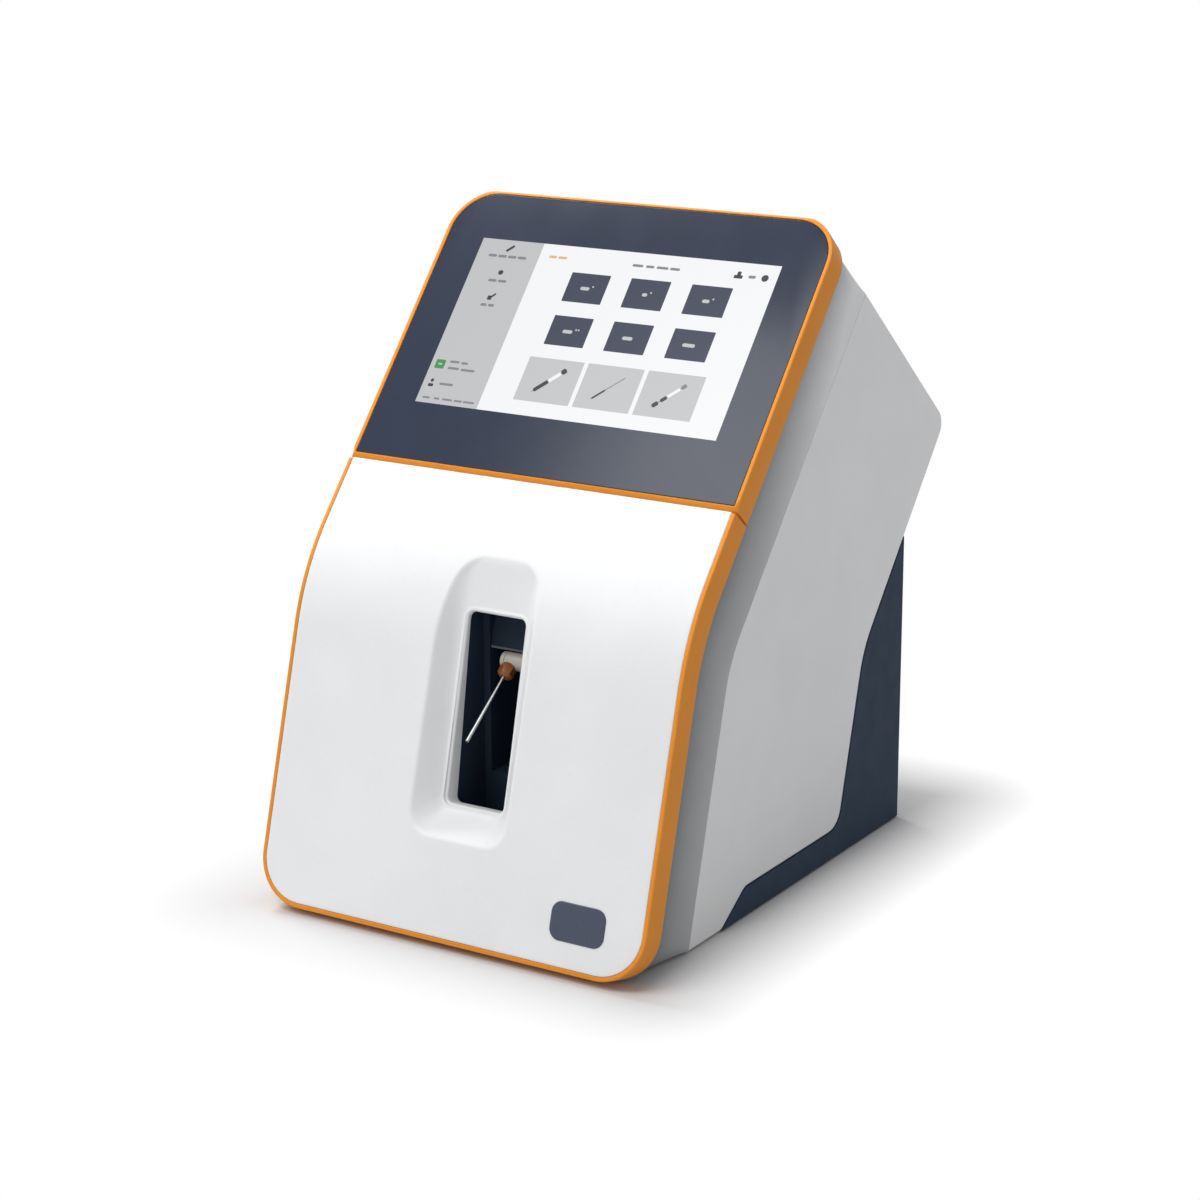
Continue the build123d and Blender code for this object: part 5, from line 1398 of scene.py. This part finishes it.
    def floor_at(self, s: Array) -> Array:
        """Depth of the recess floor: a plane that leans back less than the face."""
        return self.floor_depth - (s - self.floor_s) * math.tan(math.radians(self.floor_turn))

    def sleeve_end(self, s: Array) -> Array:
        """Depth at which the window's sleeve ends."""
        slope = math.tan(math.radians(self.sleeve_turn))
        straight = self.sleeve_depth - (s - self.sleeve_s) * slope
        return np.maximum(straight, self.floor_at(s) + self.sleeve_least)

    def panel(self) -> None:
        """White panel: one closed chain of loops.

        It runs from the rim's back over the broken edge and the bent face into the recess,
        over the window's beaded lip down the sleeve, and back along the inner side to the rim.
        """
        front = self.shop.front
        half = self.half - self.gap
        radius = self.corner - self.ring_wall - self.gap
        edge = Outline(half, half, self.gap, self.top, radius, self.panel_end)
        left = self.left_shares(self.gap + radius, self.top - self.panel_end)
        across = np.linspace(0, 1, 26)[1:-1]
        sampling = Sampling(14, across, (1 - left)[::-1], across, left)
        margin = self.pocket.grown(self.margin).loop(sampling)
        margin_face = np.stack([margin[:, 0], front.face_height(margin[:, 1])], -1)
        loops = []

        def face(loop: Array, depth: Array | float) -> None:
            """Add a loop given on the bent face."""
            loops.append(front.wrap(loop[:, 0], loop[:, 1], depth))

        def plane(loop: Array, depth: Array) -> None:
            """Add a loop given on the lower face's plane."""
            loops.append(front.low(loop[:, 0], loop[:, 1], depth))

        outer = edge.loop(sampling)
        back = self.back_depth(outer, self.rim_depth)
        face(outer, back)
        for inset, depth in self.broken:
            start = edge.grown(-inset).loop(sampling)
            face(start, depth)
        for share in np.linspace(0, 1, 30)[1:-1]:
            face(mix(start, margin_face, share), 0)
        rim = self.pocket.loop(sampling)
        foot = self.window.grown(self.lip + self.bead_foot).loop(sampling)
        rows = [mix(margin, rim, t) for t in np.linspace(0, 1, 12)[:-1]]
        rows += [mix(rim, foot, t) for t in np.linspace(0, 1, 26)]
        for loop in rows:
            plane(loop, self.scoop(loop[:, 0], loop[:, 1]))
        for share in (0.35, 0.7, 1.0):
            loop = self.window.grown(self.lip + self.bead_foot * (1 - share)).loop(sampling)
            raised = self.bead * math.sin(share * np.pi / 2)
            plane(loop, self.scoop(loop[:, 0], loop[:, 1]) - raised)
        for a in np.linspace(0, np.pi / 2, 7)[1:]:
            loop = self.window.grown(self.lip * (1 - math.sin(a))).loop(sampling)
            fall = (self.lip + self.bead) * (1 - math.cos(a))
            plane(loop, self.floor_at(loop[:, 1]) - self.bead + fall)
        well = self.window.loop(sampling)
        plane(well, self.sleeve_end(well[:, 1]) - self.sleeve_edge)
        for grow in (self.sleeve_edge, self.sleeve_wall - self.sleeve_edge):
            loop = self.window.grown(grow).loop(sampling)
            plane(loop, self.sleeve_end(loop[:, 1]))
        outside = self.window.grown(self.sleeve_wall).loop(sampling)
        plane(outside, self.sleeve_end(outside[:, 1]) - self.sleeve_step)
        inner_rows = [mix(outside, rim, t) for t in np.linspace(0, 1, 12)]
        inner_rows += [mix(rim, margin, t) for t in (0.2, 0.5, 1)]
        for loop in inner_rows:
            plane(loop, self.scoop(loop[:, 0], loop[:, 1]) + self.rim)
        inside = edge.grown(-self.rim).loop(sampling)
        for share in (0.05, 0.2, 0.4, 0.6, 0.8, 1):
            face(mix(margin_face, inside, share), self.skin)
        face(inside, back)
        shells = [chain(np.array(loops), closed=True)]
        shells += [front.block(self.seat, self.seat_x, s, self.seat_depths) for s in front.catches]
        self.shop.shells("door_panel_white", Look.WHITE, shells, "door_panel", sharp=40)

    def badge(self) -> None:
        """Plain plate with a pillowed edge."""
        loops = []
        for inset, depth in self.pillow:
            loop = self.plate.grown(inset).loop(Sampling.even(14, 2, 2)) + self.plate_place
            loops.append(self.shop.front.low(loop[:, 0], loop[:, 1], depth))
        self.shop.shells("door_badge_plate", Look.BADGE, [chain(np.array(loops))], "door_badge")


def soft(a: Array, b: Array, k: float, sign: int) -> Array:
    """Softened maximum (sign 1) or minimum (sign -1) of two surfaces.

    It is (a + b + sign * |a - b|) / 2 + sign * k / 3 * reach^3, where the reach falls from 1,
    where both are alike, to 0 where they differ by 2 * k.

    Args:
        a: one surface.
        b: the other.
        k: size of the rounding.
        sign: which of both.

    Returns:
        The blended surface.
    """
    gap = np.abs(a - b)
    reach = np.clip(1 - gap / (2 * k), 0, 1)
    return (a + b + sign * gap) / 2 + sign * k * reach ** 3 / 3


def signed_distance(x: Array, s: Array, outline: Outline) -> Array:
    """Distance to a rounded outline, negative inside.

    With q = (|x| - half + r, |s - middle| - reach + r) it is the length of what of q is
    above zero, plus the larger of both where they are negative, less r.

    Args:
        x: across.
        s: up.
        outline: its half width changes evenly from bottom to top.

    Returns:
        The distance.
    """
    middle, reach = (outline.low + outline.high) / 2, (outline.high - outline.low) / 2
    up = np.clip((s - outline.low) / (2 * reach), 0, 1)
    half = outline.half_low + (outline.half_top - outline.half_low) * up
    r = np.where(s < middle, outline.r_low, outline.r_top)
    qx, qs = np.abs(x) - half + r, np.abs(s - middle) - reach + r
    return np.hypot(np.maximum(qx, 0), np.maximum(qs, 0)) + np.minimum(np.maximum(qx, qs), 0) - r


# ------------------------------------------------------------------ shell
@dataclass
class Shell:
    """Grey frame, white casing, navy rear housing and what closes them underneath.

    The frame's painted light at a point, the share of its own colour over the deep colour of
    painted shade, is back_tone * share ^ back_power + top_painted_light * lift ^ top_power * (1 +
    share) / 2, with share from front to back and lift from low to high.
    So it is darkest at the front beside the ring, and lighter towards the top, where light falls.
    """

    shop: Workshop
    front_depth: float = 13.0
    back_depth: float = 50.5
    half_front: float = 97.2
    half_back: float = 91.9
    top_front: float = 199.0
    top_back: float = 194.8
    r_front: float = 21.0
    r_back: float = 2.5
    bow: float = 1.35
    # lit, back_tone, back_power, top_painted_light and top_power shape the frame's painted shade
    # and painted light.
    lit: tuple = (170.0, 345.0)
    back_tone: float = 0.45
    back_power: float = 0.8
    top_painted_light: float = 0.95
    top_power: float = 1.5
    wall: float = 3.0
    rim_half: float = 86.0
    rim_depth: float = 16.0
    under: float = 0.8
    floor: float = 3.8
    cavity_top: float = 191.2
    edge: float = 0.5
    edge_mid: float = 0.15
    bar: tuple = (52.2, 64.2)
    bar_half: float = 5.0
    bar_depth: float = 5.05
    bar_r: float = 0.6
    lug: Outline = Outline(4.75, 4.75, -5.0, 5.0, 0.8, 0.8)
    lug_x: float = 85.25
    lug_heights: tuple = (18.0, 66.0, 114.0)
    lug_depths: tuple = (35.6, 41.4)
    seat: Outline = Outline(5.5, 5.5, -8.5, 8.5, 0.6, 0.6)
    seat_x: float = 90.0
    seat_depths: tuple = (13.02, 17.5)
    catch_lift: float = 0.05

    def build(self) -> None:
        """Make every piece of the shell."""
        self.frame()
        self.shop.refined("casing", Look.WHITE, 0.9, steps=4, sharp=24)
        self.shop.refined("rear_housing", Look.NAVY, 0.4, steps=3)
        self.shop.refined("base_plate", Look.ZINC, 0.15)
        self.shop.refined("base_screws", Look.BLACK_STEEL, 0.2)
        self.shop.refined("housing_screws", Look.BLACK_STEEL, 0.25, steps=3)
        self.shop.refined("rubber_feet", Look.RUBBER, 0.5, steps=3)
        self.shop.refined("frame_magnets", Look.NICKEL, 0.3, lift=self.catch_lift)
        self.shop.refined("frame_hinge_leaves", Look.NICKEL, 0.12, lift=self.catch_lift)

    def level_height(self, z: float, depth: float) -> float:
        """Height on the lower face at which a depth reaches a level above the table."""
        front = self.shop.front
        up, into = front.axes(front.lower_tilt)
        return (z - front.chin_z - depth * into[1]) / up[1]

    def share_of(self, depth: float) -> float:
        """Share of the frame's depth: 0 at its front face, 1 at its back."""
        return (depth - self.front_depth) / (self.back_depth - self.front_depth)

    def outside(self, depth: float, inset: float = 0.0) -> Outline:
        """The frame's outline at a depth: it bows in towards the back and its corners tighten.

        Its half width grows from the back with (1 - share) to the power of the bow.

        Args:
            depth: square into the machine.
            inset: how far the outline is moved inwards.

        Returns:
            The outline.
        """
        t = self.share_of(depth)
        half = self.half_back + (self.half_front - self.half_back) * (1 - t) ** self.bow
        top = self.top_front + (self.top_back - self.top_front) * t
        r = self.r_front + (self.r_back - self.r_front) * t
        return Outline(half, half, self.level_height(self.under, depth),
                       self.shop.front.height_of(top), r, r).grown(-inset)

    def opening(self, depth: float) -> Outline:
        """Opening in the frame's front rim at a depth."""
        front = self.shop.front
        return Outline(self.rim_half, self.rim_half, max(5.0, self.level_height(self.floor, depth)),
                       front.height_of(front.upper_len - 10), 0.4, 12)

    def cavity(self, depth: float) -> Outline:
        """Inside of the frame behind the rim at a depth."""
        half = self.half_back - self.wall
        return Outline(half, half, self.level_height(self.floor, depth),
                       self.shop.front.height_of(self.cavity_top), 0.4, 0.6)

    def tone(self, heights: Array, depth: float) -> Array:
        """Share of the plain colour at points of the frame, by the formula above: painted shade
        where it is low, painted light where it rises towards the top.

        Args:
            heights: the points' heights along the outer face.
            depth: their depth.

        Returns:
            The share at each point.
        """
        share = np.clip(self.share_of(depth), 0, 1)
        lift = np.clip((heights - self.lit[0]) / (self.lit[1] - self.lit[0]), 0, 1)
        return self.back_tone * share ** self.back_power \
            + self.top_painted_light * lift ** self.top_power * (0.5 + 0.5 * share)

    def frame(self) -> None:
        """Frame, grey from painted shade on a near-white plastic: a closed chain of loops from its
        front face over the flared outside to the back, and forward again inside, with a bar under
        the seam and screw lugs."""
        front = self.shop.front
        d0, d1 = self.front_depth, self.back_depth
        edge, mid = self.edge, self.edge_mid
        rows = [(self.opening(d0), d0), (self.outside(d0, edge), d0),
                (self.outside(d0 + mid, mid), d0 + mid)]
        rows += [(self.outside(depth), depth) for depth in np.linspace(d0 + edge, d1 - edge, 12)]
        rows += [(self.outside(d1 - mid, mid), d1 - mid), (self.outside(d1, edge), d1),
                 (self.cavity(d1), d1), (self.cavity(self.rim_depth), self.rim_depth),
                 (self.opening(self.rim_depth), self.rim_depth)]
        # tones hold the painted shade and painted light that the frame's material reads.
        loops, tones = [], []
        for outline, depth in rows:
            loop = outline.loop(Sampling.even(16, 30, 56))
            loops.append(front.wrap(loop[:, 0], loop[:, 1], depth))
            tones.append(self.tone(loop[:, 1], depth))
        shells = [chain(np.array(loops), closed=True)]
        low, top = (front.height_of(s) for s in self.bar)
        bar = Outline(self.bar_half, self.bar_half, low, top, self.bar_r,
                      self.bar_r).loop(Sampling.even(5))
        span = self.rim_half + 1
        shells.append(chain(np.array([front.wrap(x, bar[:, 1], bar[:, 0] + d0 + self.bar_depth)
                                      for x in (-span, span)])))
        shells += [front.block(self.lug, x, s, self.lug_depths)
                   for s in self.lug_heights for x in (-self.lug_x, self.lug_x)]
        shells += [front.block(self.seat, self.seat_x, s, self.seat_depths) for s in front.catches]
        self.shop.shells("front_frame_grey", Look.GREY, shells, "front_frame",
                         share=np.concatenate(tones))


# ------------------------------------------------------------------ sample port
@dataclass
class SamplePort:
    """Dark cup behind the window, and the needle on its swinging arm.

    Groove, nut and mouth are sections along the hub, the collet and the needle's end: pairs
    of a place along the piece and how deep, how wide or how far in it is there.
    """

    shop: Workshop
    pivot_y: float = 63.0
    pivot_z: float = 113.6
    angle: float = 36.4
    reach: float = 44.1
    needle_r: float = 0.8
    hub: tuple = (-4.6, 9.0)
    hub_r: float = 3.9
    hub_soft: float = 0.9
    groove: tuple = ((2.2, 0), (2.35, 0.35), (2.85, 0.35), (3.0, 0))
    snout_r: float = 3.1
    snout: float = 5.4
    snout_end: tuple = ((0.5, 0), (0.12, 0.14), (0, 0.5))
    across: float = 3.25
    nut: tuple = ((3.0, 3.1), (3.0, 3.3), (3.5, 3.7), (7.3, 3.7), (7.9, 3.35), (8.1, 2.9),
                  (8.9, 2.0), (8.9, 0.85))
    needle_start: float = 3.5
    mouth: tuple = ((0.25, 0), (0.08, 0.05), (0, 0.16))
    bore: float = 0.5
    bore_end: tuple = ((0.02, 0.03), (0.2, 0), (6, 0))
    apron_half: float = 15.5
    apron_depth: float = 27.8
    # The apron lip is a real strip, coloured light grey under the dark ledge: its light line is
    # partly a painted highlight.
    aprons: tuple = (("port_apron", Look.LINER, Outline(0.7, 0.7, 124.6, 127.4, 0.25, 0.25)),
                     ("port_apron_lip", Look.GREY, Outline(0.8, 0.8, 123.8, 124.8, 0.25, 0.25)))

    def build(self) -> None:
        """Make every piece of the port."""
        self.pivot = self.shop.front.plain(0, self.pivot_y, self.pivot_z)
        a = math.radians(self.angle)
        self.down = np.array([0, -math.cos(a), -math.sin(a)])
        self.liner()
        self.arm()
        self.collet()
        self.needle()
        self.shop.refined("probe_motor", Look.MOTOR, 0.25)
        self.shop.refined("probe_shaft", Look.STEEL, 0.2)

    def liner(self) -> None:
        """Cup with its ledge: a copy with soft edges, an apron under the ledge and its light grey
        lip, partly a painted highlight of the ledge's lower edge.
        """
        self.shop.refined("port_liner", Look.LINER, 0.6, steps=3)
        body = self.shop.nodes["port_liner"]["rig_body"]
        for name, look, outline in self.aprons:
            bar = outline.loop(Sampling.even(4))
            ends = [self.shop.front.low(x, bar[:, 1], bar[:, 0] + self.apron_depth)
                    for x in (-self.apron_half, self.apron_half)]
            self.shop.shells(name, look, [chain(np.array(ends))], body=body)

    def arm(self) -> None:
        """White hub across the port with rounded ends and a snout blended to the needle."""
        x0, x1 = self.hub
        r, soft_r = self.hub_r, self.hub_soft
        turn = np.linspace(0, np.pi / 2, 5)
        head = np.stack([soft_r * (1 - np.cos(turn)), r - soft_r * (1 - np.sin(turn))], -1)
        tail = np.stack([x1 - x0 - head[::-1, 0], head[::-1, 1]], -1)
        collar = [(along, r - deep) for along, deep in self.groove]
        profile = np.concatenate([[(0, 0)], head, collar, tail, [(x1 - x0, 0)]])
        hub = lathe(self.pivot + (x0, 0, 0), np.array([1.0, 0, 0]), profile, 56)
        s, wide = self.snout, self.snout_r
        end = [(s - back, wide - inset) for back, inset in self.snout_end]
        snout = lathe(self.pivot, self.down, np.array([(0, 0), (0, wide), *end, (s, 0)]))
        self.shop.shells("probe_arm_white", Look.HUB, [hub, snout], "probe_arm")

    def collet(self) -> None:
        """Amber hexagon nut with turned chamfers on a short round neck, and a tip cone."""
        angle = np.arange(24) * np.pi / 12
        hexagon = self.across / np.cos(np.mod(angle + np.pi / 6, np.pi / 3) - np.pi / 6)
        u = np.array([1.0, 0, 0])
        v = np.cross(self.down, u)
        rows = []
        for along, limit in self.nut:
            radius = np.minimum(hexagon, limit)[:, None]
            rows.append(self.pivot + along * self.down + radius * (np.cos(angle)[:, None] * u
                                                                   + np.sin(angle)[:, None] * v))
        self.shop.shells("probe_collet_amber", Look.AMBER, [chain(np.array(rows))],
                         "probe_collet", sharp=24)

    def needle(self) -> None:
        """Drawn steel tube with an open, slightly rounded end."""
        r, start, end = self.needle_r, self.needle_start, self.reach
        outside = [(end - back, r - inset) for back, inset in self.mouth]
        inside = [(end - back, self.bore + more) for back, more in self.bore_end]
        profile = np.array([(start, 0), (start, r), *outside, *inside, (inside[-1][0], 0)])
        self.shop.shells("probe_needle_steel", Look.STEEL,
                         [lathe(self.pivot, self.down, profile, 32)], "probe_needle")


# ------------------------------------------------------------------ fluid deck
@dataclass
class FluidDeck:
    """Steel deck behind the door with cartridge, pump, valves and tube.

    Roller_ring is the radius on which the rollers' axes lie; tube_gap keeps the tube off
    them, and tube_skin off the sockets at its ends.
    """

    shop: Workshop
    pump_x: float = 54.0
    pump_s: float = 79.0
    roller_ring: float = 13.0
    roller_r: float = 4.0
    roller_half: float = 4.0
    roller_depth: float = 20.0
    roller_bore: float = 1.35
    roller_inset: float = 0.25
    crown: float = 0.22
    tube_r: float = 2.0
    tube_gap: float = 0.3
    tube_skin: float = 0.02
    tube_depth: float = 24.0
    manifold_top: float = 47.0

    def build(self) -> None:
        """Make every piece on the deck."""
        shop = self.shop
        shop.refined("deck_plate", Look.ZINC, 0.2)
        shop.refined("deck_screws", Look.NICKEL, 0.4, steps=3)
        shop.refined("cartridge", Look.CARTRIDGE, 0.5, steps=3)
        shop.refined("cartridge_guide", Look.CARTRIDGE_GUIDE, 0.15)
        shop.refined("pump_housing", Look.BLACK, 0.6, steps=3)
        shop.refined("pump_motor", Look.MOTOR, 0.4)
        shop.refined("pump_shaft", Look.STEEL, 0.3)
        shop.refined("pump_rotor", Look.ACETAL, 0.3)
        shop.refined("valve_manifold", Look.CLEAR, 0.5, steps=3)
        shop.refined("solenoid_valves", Look.BLACK, 0.3)
        self.rollers()
        self.tube()

    def rollers(self) -> None:
        """Three rollers: crowned barrels, radius - crown * t^4 with t from -1 to 1 along them."""
        front = self.shop.front
        t = np.linspace(-1, 1, 13)
        outer = np.stack([self.roller_half * (1 + t), self.roller_r - self.crown * t ** 4], -1)
        length, inset = 2 * self.roller_half, self.roller_inset
        low, high = ((end, self.roller_bore) for end in (inset, length - inset))
        profile = np.concatenate([[low], outer, [high], [low]])
        for k in range(3):
            a = math.radians(90 + 120 * k)
            centre = front.low(self.pump_x + self.roller_ring * math.cos(a),
                               self.pump_s + self.roller_ring * math.sin(a), self.roller_depth)
            name = f"pump_roller_{k + 1}"
            self.shop.shells(name + "_barrel", Look.STEEL,
                             [lathe(centre, front.into, profile, 44)], name)

    def tube(self) -> None:
        """Silicone tube: straight up, half round the pump's track, straight down."""
        front = self.shop.front
        ring = self.roller_ring + self.roller_r + self.tube_r + self.tube_gap
        turn = np.pi * (1 - np.linspace(0, 1, 49))
        x = np.concatenate([[-ring] * 8, ring * np.cos(turn), [ring] * 8]) + self.pump_x
        leg = np.linspace(self.manifold_top, self.pump_s, 9)[:-1]
        s = np.concatenate([leg, self.pump_s + ring * np.sin(turn), leg[::-1]])
        path = front.low(x, s, self.tube_depth)
        self.shop.shells("pump_tube_round", Look.TUBE,
                         [tube(path, self.tube_r - self.tube_skin, front.into, 24)], "pump_tube")


# ------------------------------------------------------------------ electronics
@dataclass
class RearPanel:
    """Fan, inlet, switch and sockets in the rear wall, and the boards behind it."""

    shop: Workshop

    def build(self) -> None:
        """Make every piece of the rear."""
        for node, look, edge in (("main_board", Look.BOARD, 0.12), ("io_board", Look.BOARD, 0.1),
                                 ("power_supply", Look.ZINC, 0.3), ("fan_frame", Look.BLACK, 0.3),
                                 ("fan_rotor", Look.BLACK, 0.2)):
            self.shop.refined(node, look, edge)
        self.shop.refined("fan_grille", Look.BLACK, 0.35, steps=3)
        for node, look, edge in (("power_inlet", Look.BLACK, 0.3), ("switch_body", Look.BLACK, 0.3),
                                 ("power_rocker", Look.BLACK, 0.3),
                                 ("ethernet_socket", Look.NICKEL, 0.15),
                                 ("usb_sockets", Look.NICKEL, 0.12)):
            self.shop.refined(node, look, edge)


# ------------------------------------------------------------------ stage
@dataclass(frozen=True)
class Lamp:
    """Round soft light: where it stands, its diameter and its power."""

    name: str
    place: tuple[float, float, float]
    size: float
    power: float

    def build(self, target: Vector) -> None:
        """Put the lamp up, facing a point.

        Args:
            target: the point.
        """
        lamp = bpy.data.lights.new(self.name, "AREA")
        lamp.shape = "DISK"
        lamp.size = self.size
        lamp.energy = self.power
        light = bpy.data.objects.new(self.name, lamp)
        light.location = self.place
        way = Vector(self.place) - target
        light.rotation_euler = way.to_track_quat("Z", "Y").to_euler()
        bpy.context.scene.collection.objects.link(light)


@dataclass
class Stage:
    """Pale table, soft light and the camera; lengths in metres.

    Foot is half the rectangle under the analyzer, and fade the distances from it between
    which the table turns white.
    """

    lamps: tuple = (Lamp("key", (-0.85, 0.32, 1.4), 0.6, 13.5),
                    Lamp("sheen", (-0.5, -0.94, 1.45), 1.0, 10.7),
                    Lamp("brow", (0.05, -0.75, 1.5), 0.5, 2.3))
    aim: tuple = (0.0, 0.0, 0.14)
    world: float = 0.481
    table_half: float = 30.0
    # The floor's grey near the foot, which turns white away from it, is partly a painted shadow
    # round the base, besides the real shadow it shows.
    floor: Colour = (212, 212, 213)
    foot_centre: tuple = (-0.004, 0.002, 0.0)
    foot: tuple = (0.0968, 0.14, 0.0)
    fade: tuple = (0.0, 0.05)
    lens: float = 88.14
    sensor: float = 36.0
    eye: tuple = (0.67255, -1.0893058, 0.48587)
    eye_turns: tuple = (74.057, 0.209, 31.978)

    def build(self) -> None:
        """Make the table, the lights and the camera."""
        self.table()
        self.sky()
        for lamp in self.lamps:
            lamp.build(Vector(self.aim))
        self.camera()

    def seen(self, tree: bpy.types.NodeTree) -> Socket:
        """One for rays from the camera, from gloss or through glass, else zero.

        Args:
            tree: the tree to add to.

        Returns:
            The factor.
        """
        path = tree.nodes.new("ShaderNodeLightPath")
        best = path.outputs["Is Camera Ray"]
        for name in ("Is Glossy Ray", "Is Transmission Ray"):
            top = tree.nodes.new("ShaderNodeMath")
            top.operation = "MAXIMUM"
            tree.links.new(best, top.inputs[0])
            tree.links.new(path.outputs[name], top.inputs[1])
            best = top.outputs[0]
        return best

    def table(self) -> None:
        """Wide table: pale grey and matt under the analyzer, plain white away from it; the grey
        round the foot is partly a painted shadow, besides the real shadow it shows.

        The distance from its foot is the length of max(|place - centre| - half, 0).
        """
        size = self.table_half
        corners = [(-size, -size, 0), (size, -size, 0), (size, size, 0), (-size, size, 0)]
        mesh = bpy.data.meshes.new("table")
        mesh.from_pydata(corners, [], [(0, 1, 2, 3)])
        g = Graph("table_top")
        g.set(Base_Color=g.tint(g.noise(2.0, 3), self.floor, shade(self.floor, 0.997)),
              Roughness=0.9, Specular_IOR_Level=0.0)
        white = g.node("Emission", {"Color": (1, 1, 1, 1), "Strength": 1.0})
        reach = g.place
        for step, inputs in (("SUBTRACT", {1: self.foot_centre}), ("ABSOLUTE", {}),
                             ("SUBTRACT", {1: self.foot}), ("MAXIMUM", {1: (0, 0, 0)})):
            reach = g.node("VectorMath", {0: reach, **inputs}, operation=step).outputs[0]
        away = g.node("VectorMath", {0: reach}, operation="LENGTH").outputs["Value"]
        far = g.spread(away, *self.fade, 0, 1)
        both = g.node("Math", {0: far, 1: self.seen(g.tree)}, operation="MULTIPLY").outputs[0]
        blend = g.node("MixShader", {0: both, 1: g.shader.outputs[0], 2: white.outputs[0]})
        g.tree.links.new(blend.outputs[0], g.out.inputs[0])
        mesh.materials.append(g.material)
        table = bpy.data.objects.new("table", mesh)
        bpy.context.scene.collection.objects.link(table)

    def sky(self) -> None:
        """Even light from all round, shown as white to the camera and to gloss."""
        world = bpy.data.worlds.new("studio")
        world.use_nodes = True
        tree = world.node_tree
        back = tree.nodes["Background"]
        back.inputs["Color"].default_value = (1, 1, 1, 1)
        level = tree.nodes.new("ShaderNodeMapRange")
        level.inputs[3].default_value = self.world
        level.inputs[4].default_value = 1.0
        tree.links.new(self.seen(tree), level.inputs[0])
        tree.links.new(level.outputs[0], back.inputs["Strength"])
        bpy.context.scene.world = world

    def camera(self) -> None:
        """Camera from the front right, a little above the machine."""
        lens = bpy.data.cameras.new("camera")
        lens.lens = self.lens
        lens.sensor_width = self.sensor
        camera = bpy.data.objects.new("camera", lens)
        camera.location = self.eye
        camera.rotation_euler = [math.radians(turn) for turn in self.eye_turns]
        bpy.context.scene.collection.objects.link(camera)
        bpy.context.scene.camera = camera
        bpy.context.scene.view_settings.view_transform = "Standard"


def main() -> None:
    """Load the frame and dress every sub-assembly."""
    logging.basicConfig(level=logging.INFO, format="%(name)s: %(message)s")
    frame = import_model()
    front = BentFront(shift=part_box("rear_housing")[1].y / MM - REAR_Y)
    shop = Workshop(frame["nodes"], front, {})
    for part in (ScreenUnit(shop), Door(shop), Shell(shop), SamplePort(shop), FluidDeck(shop),
                 RearPanel(shop)):
        LOG.info("building %s", type(part).__name__)
        part.build()
    Stage().build()


if __name__ == "__main__":
    main()
